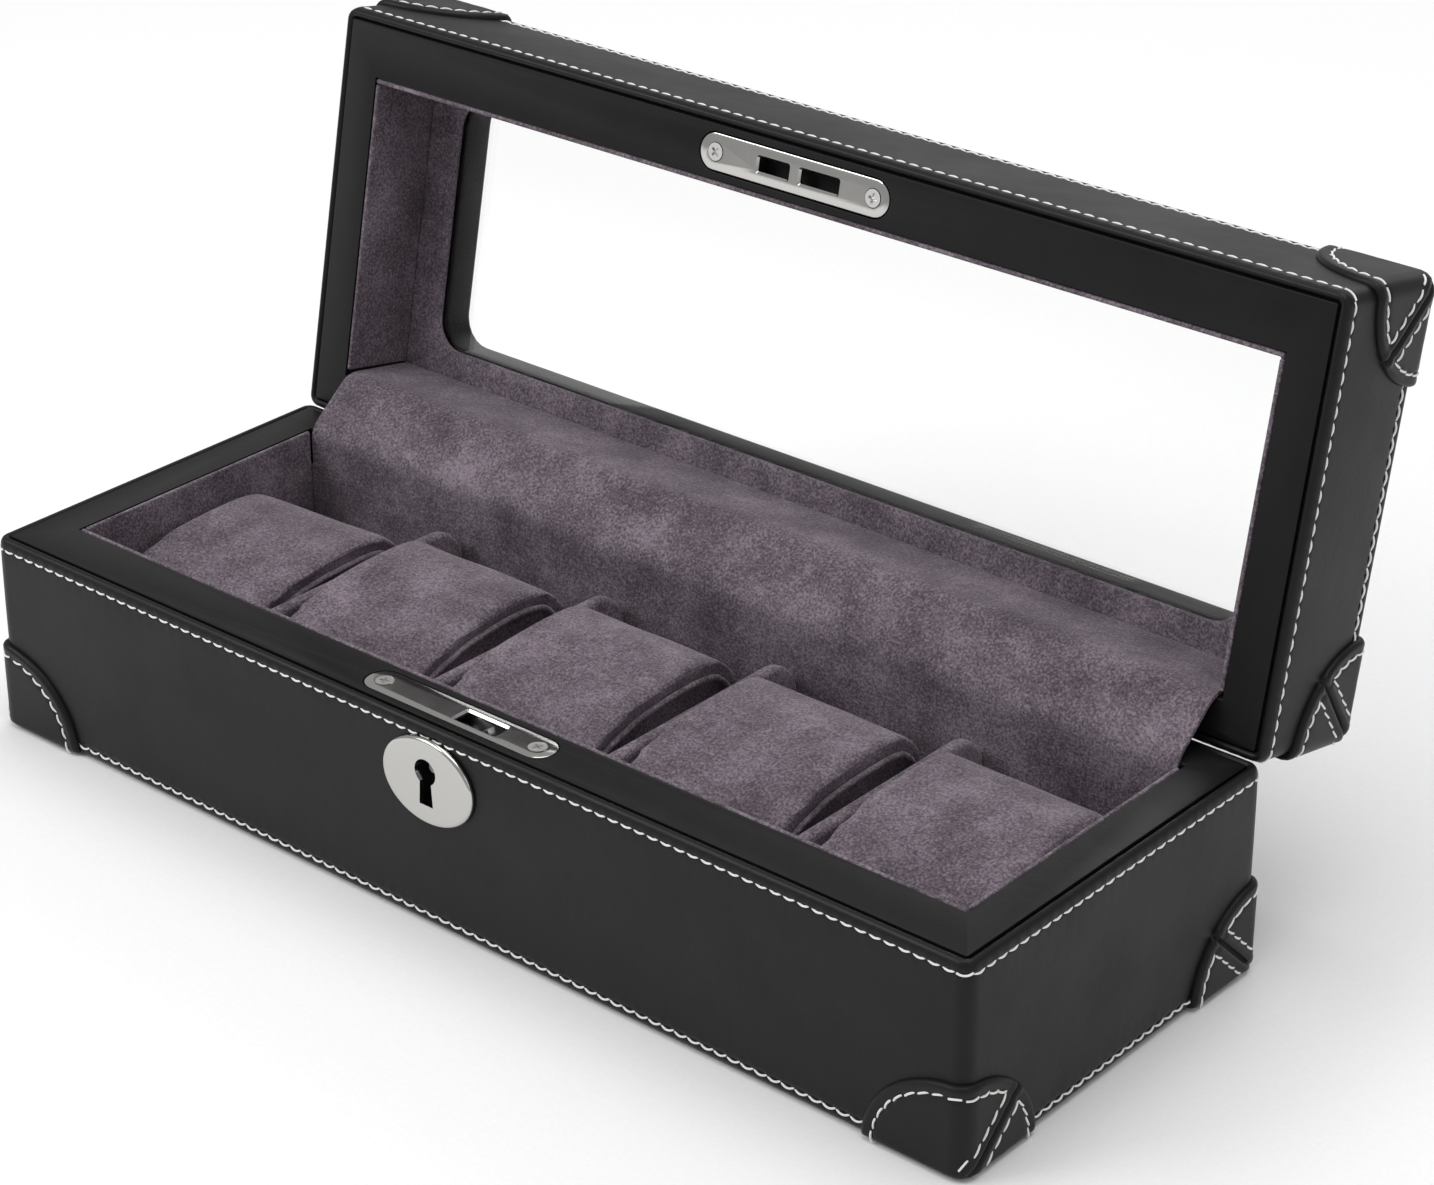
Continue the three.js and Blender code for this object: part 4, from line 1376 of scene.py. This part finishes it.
nickel, tree, shader, place = start_material("polished nickel plate", Metallic=1.0)
shader.inputs["Base Color"].default_value = colour("#c2c1be")
# Polishing marks 0.3 mm apart and a few finer wiping scratches
marks = add_node(tree, "ShaderNodeTexNoise", {"Vector": place, "Scale": 3300, "Detail": 2})
smears = add_node(tree, "ShaderNodeTexNoise", {"Vector": place, "Scale": 160, "Detail": 4})
rough = add_node(
    tree,
    "ShaderNodeMapRange",
    {"Value": smears.outputs["Fac"], "To Min": 0.09, "To Max": 0.2},
)
relief = add_node(
    tree,
    "ShaderNodeBump",
    {"Height": marks.outputs["Fac"], "Strength": 0.012, "Distance": 0.01 * mm},
)
feed(shader, Roughness=rough.outputs["Result"], Normal=relief.outputs["Normal"])

finish_nodes(["lock_case", "hook_bolt"], steel)
ease_edges(["hook_bolt"], 0.2 * mm, 2)


def capped_solid(name, points, around):
    """A closed solid through rings of points, with flat ends."""
    faces = faces_between(len(points) // around, around)
    faces += [tuple(range(around)), tuple(range(len(points) - around, len(points)))]
    return outward(new_mesh(name, points, faces))


def rounded_solid(name, x, y, rings):
    """A closed solid through rounded rectangles: half length, half width, corner radius, height."""
    points = []
    steps = 10
    for half_x, half_y, radius, z in rings:
        for k, (side_x, side_y) in enumerate(((1, 1), (-1, 1), (-1, -1), (1, -1))):
            for i in range(steps + 1):
                a = math.pi / 2 * (k + i / steps)
                points.append((
                    x + side_x * (half_x - radius) + radius * math.cos(a),
                    y + side_y * (half_y - radius) + radius * math.sin(a),
                    z,
                ))
    return capped_solid(name, points, 4 * (steps + 1))


plate_edge, plate_ease = 0.4 * mm, 0.12 * mm  # the rounding of a plate's rim
chamfer, chamfer_depth = 0.6 * mm, 0.55 * mm  # round its openings
through, above = 3 * mm, -2 * mm  # how far a cut goes past the back and the face
seat_radius, seat_mouth, seat_depth = 1.45 * mm, 2.5 * mm, 1.2 * mm
screw_x = 25 * mm  # the screws, from the middle


def nickel_plate(name, low, high, face_up, holes):
    """A round-ended plate with chamfered openings and countersunk screw seats."""
    face, down = (high.z, -1) if face_up else (low.z, 1)
    half_x, half_y, middle_y = (high.x - low.x) / 2, (high.y - low.y) / 2, (high.y + low.y) / 2
    rim = ((0, high.z - low.z), (0, plate_edge), (plate_ease, plate_ease), (plate_edge, 0))
    shape = []
    for inset, depth in rim:
        x, y = half_x - inset, half_y - inset
        shape.append((x, y, y - 0.01 * mm, face + down * depth))
    mouth = ((0, through), (0, chamfer_depth), (chamfer, -0.05 * mm), (chamfer, above))
    cutters = []
    for x0, x1, width in holes:
        cut = []
        for grown, depth in mouth:
            x, y = (x1 - x0) / 2 + grown, width / 2 + grown
            cut.append((x, y, 0.3 * mm + grown, face + down * depth))
        cutters.append(rounded_solid("opening", (x0 + x1) / 2, middle_y, cut))
    seat = [(seat_radius, through), (seat_radius, seat_depth), (seat_mouth, 0), (2.6 * mm, above)]
    cut = [(radius, radius, radius * 0.999, face + down * depth) for radius, depth in seat]
    cutters += [rounded_solid("seat", x, middle_y, cut) for x in (-screw_x, screw_x)]
    return carve(rounded_solid(name, 0, middle_y, shape), cutters)


pivot_x = 1 * mm
plate_low, plate_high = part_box("lock_face_plate")
slot = (pivot_x - 0.7 * mm, pivot_x + 12.5 * mm, 4.9 * mm)
plate_mesh = nickel_plate("nickel_face_plate", plate_low, plate_high, True, [slot])
face_plate = place_piece("nickel_face_plate", plate_mesh, nickel, 25)
fix_on(face_plate, "base", "nickel", "lock_face_plate")
plate_low, plate_high = closed_box("strike_plate")
strike_holes = [
    (pivot_x - 12.3 * mm, pivot_x - 2.7 * mm, 3.6 * mm),
    (pivot_x + 1.1 * mm, pivot_x + 13.1 * mm, 3.6 * mm),
]
plate_mesh = nickel_plate("nickel_strike_plate", plate_low, plate_high, False, strike_holes)
plate_mesh.transform(open_lid)
strike = place_piece("nickel_strike_plate", plate_mesh, nickel, 25)
fix_on(strike, "lid", "nickel", "strike_plate")

# The escutcheon: a domed oval with the keyhole cut through
oval_low, oval_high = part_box("escutcheon")
oval_middle = (oval_low + oval_high) / 2
oval_x, oval_z = (oval_high.x - oval_low.x) / 2, (oval_high.z - oval_low.z) / 2
plate_back, plate_front = oval_high.y, oval_low.y
rings = [(0.97, 0), (1.0, 0.12), (1.0, 0.45), (0.99, 0.7), (0.965, 0.9), (0.94, 0.98), (0.9, 1.0)]
rings += [(0.6, 1.02), (0.3, 1.03)]
points = []
around = 96
for grow, out in rings:
    for i in range(around):
        a = 2 * math.pi * i / around
        points.append((
            oval_middle.x + oval_x * grow * math.cos(a),
            plate_back + (plate_front - plate_back) * out,
            oval_middle.z + oval_z * grow * math.sin(a),
        ))
oval_mesh = capped_solid("oval_escutcheon", points, around)
key_cut = keyhole(6 * mm, 0, 48)
for vertex in key_cut[1].vertices:  # the slot flares towards its foot
    if vertex.co.z > key_z - mm:
        vertex.co.x = key_x + (vertex.co.x - key_x) * 0.75
escutcheon = place_piece("oval_escutcheon", carve(oval_mesh, key_cut), nickel, 35)
fix_on(escutcheon, "base", "nickel", "escutcheon")

# Countersunk steel screws with a cross recess, in the plates only. Their bright zinc plate is
# barrelled, not polished, so it shines paler and softer than the nickel round it.
zinc, tree, shader, place = start_material("bright zinc plate", Metallic=1.0)
shader.inputs["Base Color"].default_value = colour("#dfdedc")
# Barrelling marks about 0.5 mm across
grain = add_node(tree, "ShaderNodeTexNoise", {"Vector": place, "Scale": 2000, "Detail": 2})
rough = add_node(
    tree,
    "ShaderNodeMapRange",
    {"Value": grain.outputs["Fac"], "To Min": 0.3, "To Max": 0.46},
)
feed(shader, Roughness=rough.outputs["Result"])

screws, given, screw_inputs = start_tree(
    "Screws",
    Points="Geometry",
    Head="Float",
    Shank="Float",
    Length="Float",
    Material="Material",
)
# The head's depth and the way down to its foot, then the cross recess's arms, as shares of the
# head's radius
head_depth, head_down, arm_long, arm_wide, arm_deep = [
    add_node(
        screws, "ShaderNodeMath", {0: given["Head"], 1: share}, operation="MULTIPLY"
    ).outputs[0]
    for share in (0.42, -0.42, 1.15, 0.32, 0.7)
]
head = add_node(
    screws,
    "GeometryNodeMeshCone",
    {
        "Vertices": 32,
        "Radius Top": given["Head"],
        "Radius Bottom": given["Shank"],
        "Depth": head_depth,
    },
)
to_foot = add_node(screws, "ShaderNodeCombineXYZ", {"Z": head_down})
seated = add_node(
    screws,
    "GeometryNodeTransform",
    {"Geometry": head.outputs[0], "Translation": to_foot.outputs[0]},
)
shank = add_node(
    screws,
    "GeometryNodeMeshCylinder",
    {"Vertices": 16, "Radius": given["Shank"], "Depth": given["Length"]},
)
half = add_node(screws, "ShaderNodeMath", {0: given["Length"], 1: -0.5}, operation="MULTIPLY")
to_middle = add_node(screws, "ShaderNodeCombineXYZ", {"Z": half.outputs[0]})
hung = add_node(
    screws,
    "GeometryNodeTransform",
    {"Geometry": shank.outputs[0], "Translation": to_middle.outputs[0]},
)
body = add_node(screws, "GeometryNodeMeshBoolean", operation="UNION", solver="EXACT")
recessed = add_node(screws, "GeometryNodeMeshBoolean", operation="DIFFERENCE", solver="EXACT")
screws.links.new(seated.outputs[0], body.inputs["Mesh 2"])
screws.links.new(hung.outputs[0], body.inputs["Mesh 2"])
screws.links.new(body.outputs[0], recessed.inputs["Mesh 1"])
for x, y in ((arm_long, arm_wide), (arm_wide, arm_long)):
    size = add_node(screws, "ShaderNodeCombineXYZ", {"X": x, "Y": y, "Z": arm_deep})
    arm = add_node(screws, "GeometryNodeMeshCube", {"Size": size.outputs[0]})
    screws.links.new(arm.outputs[0], recessed.inputs["Mesh 2"])
end_tree(screws, given, recessed.outputs[0])

screw_proud = 0.12 * mm
screw_head, screw_shank, screw_length = 2.3 * mm, 1.3 * mm, 12 * mm
for body, plate, turns in (("base", "lock", (20, 65)), ("lid", "strike", (40, 10))):
    rows = []
    for side, turn in zip(("left", "right"), turns):
        node = f"{plate}_screw_{side}"
        low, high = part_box(node) if body == "base" else closed_box(node)
        middle = (low + high) / 2
        face, up = (high.z, 1) if body == "base" else (low.z, -1)
        recess = Vector((math.cos(math.radians(turn)), math.sin(math.radians(turn)), 0))
        at = Vector((middle.x, middle.y, face + up * screw_proud))
        rows.append((at, Vector((0, 0, up)), recess))
    if body == "lid":
        rows = turn_rows(rows, open_lid)
    piece = run_tree(
        f"{plate}_screws",
        rows,
        screws,
        screw_inputs,
        Head=screw_head,
        Shank=screw_shank,
        Length=screw_length,
        Material=zinc,
    )
    piece.data.set_sharp_from_angle(angle=math.radians(30))
    fix_on(piece, body, "nickel", f"{plate}_screw_left", f"{plate}_screw_right")
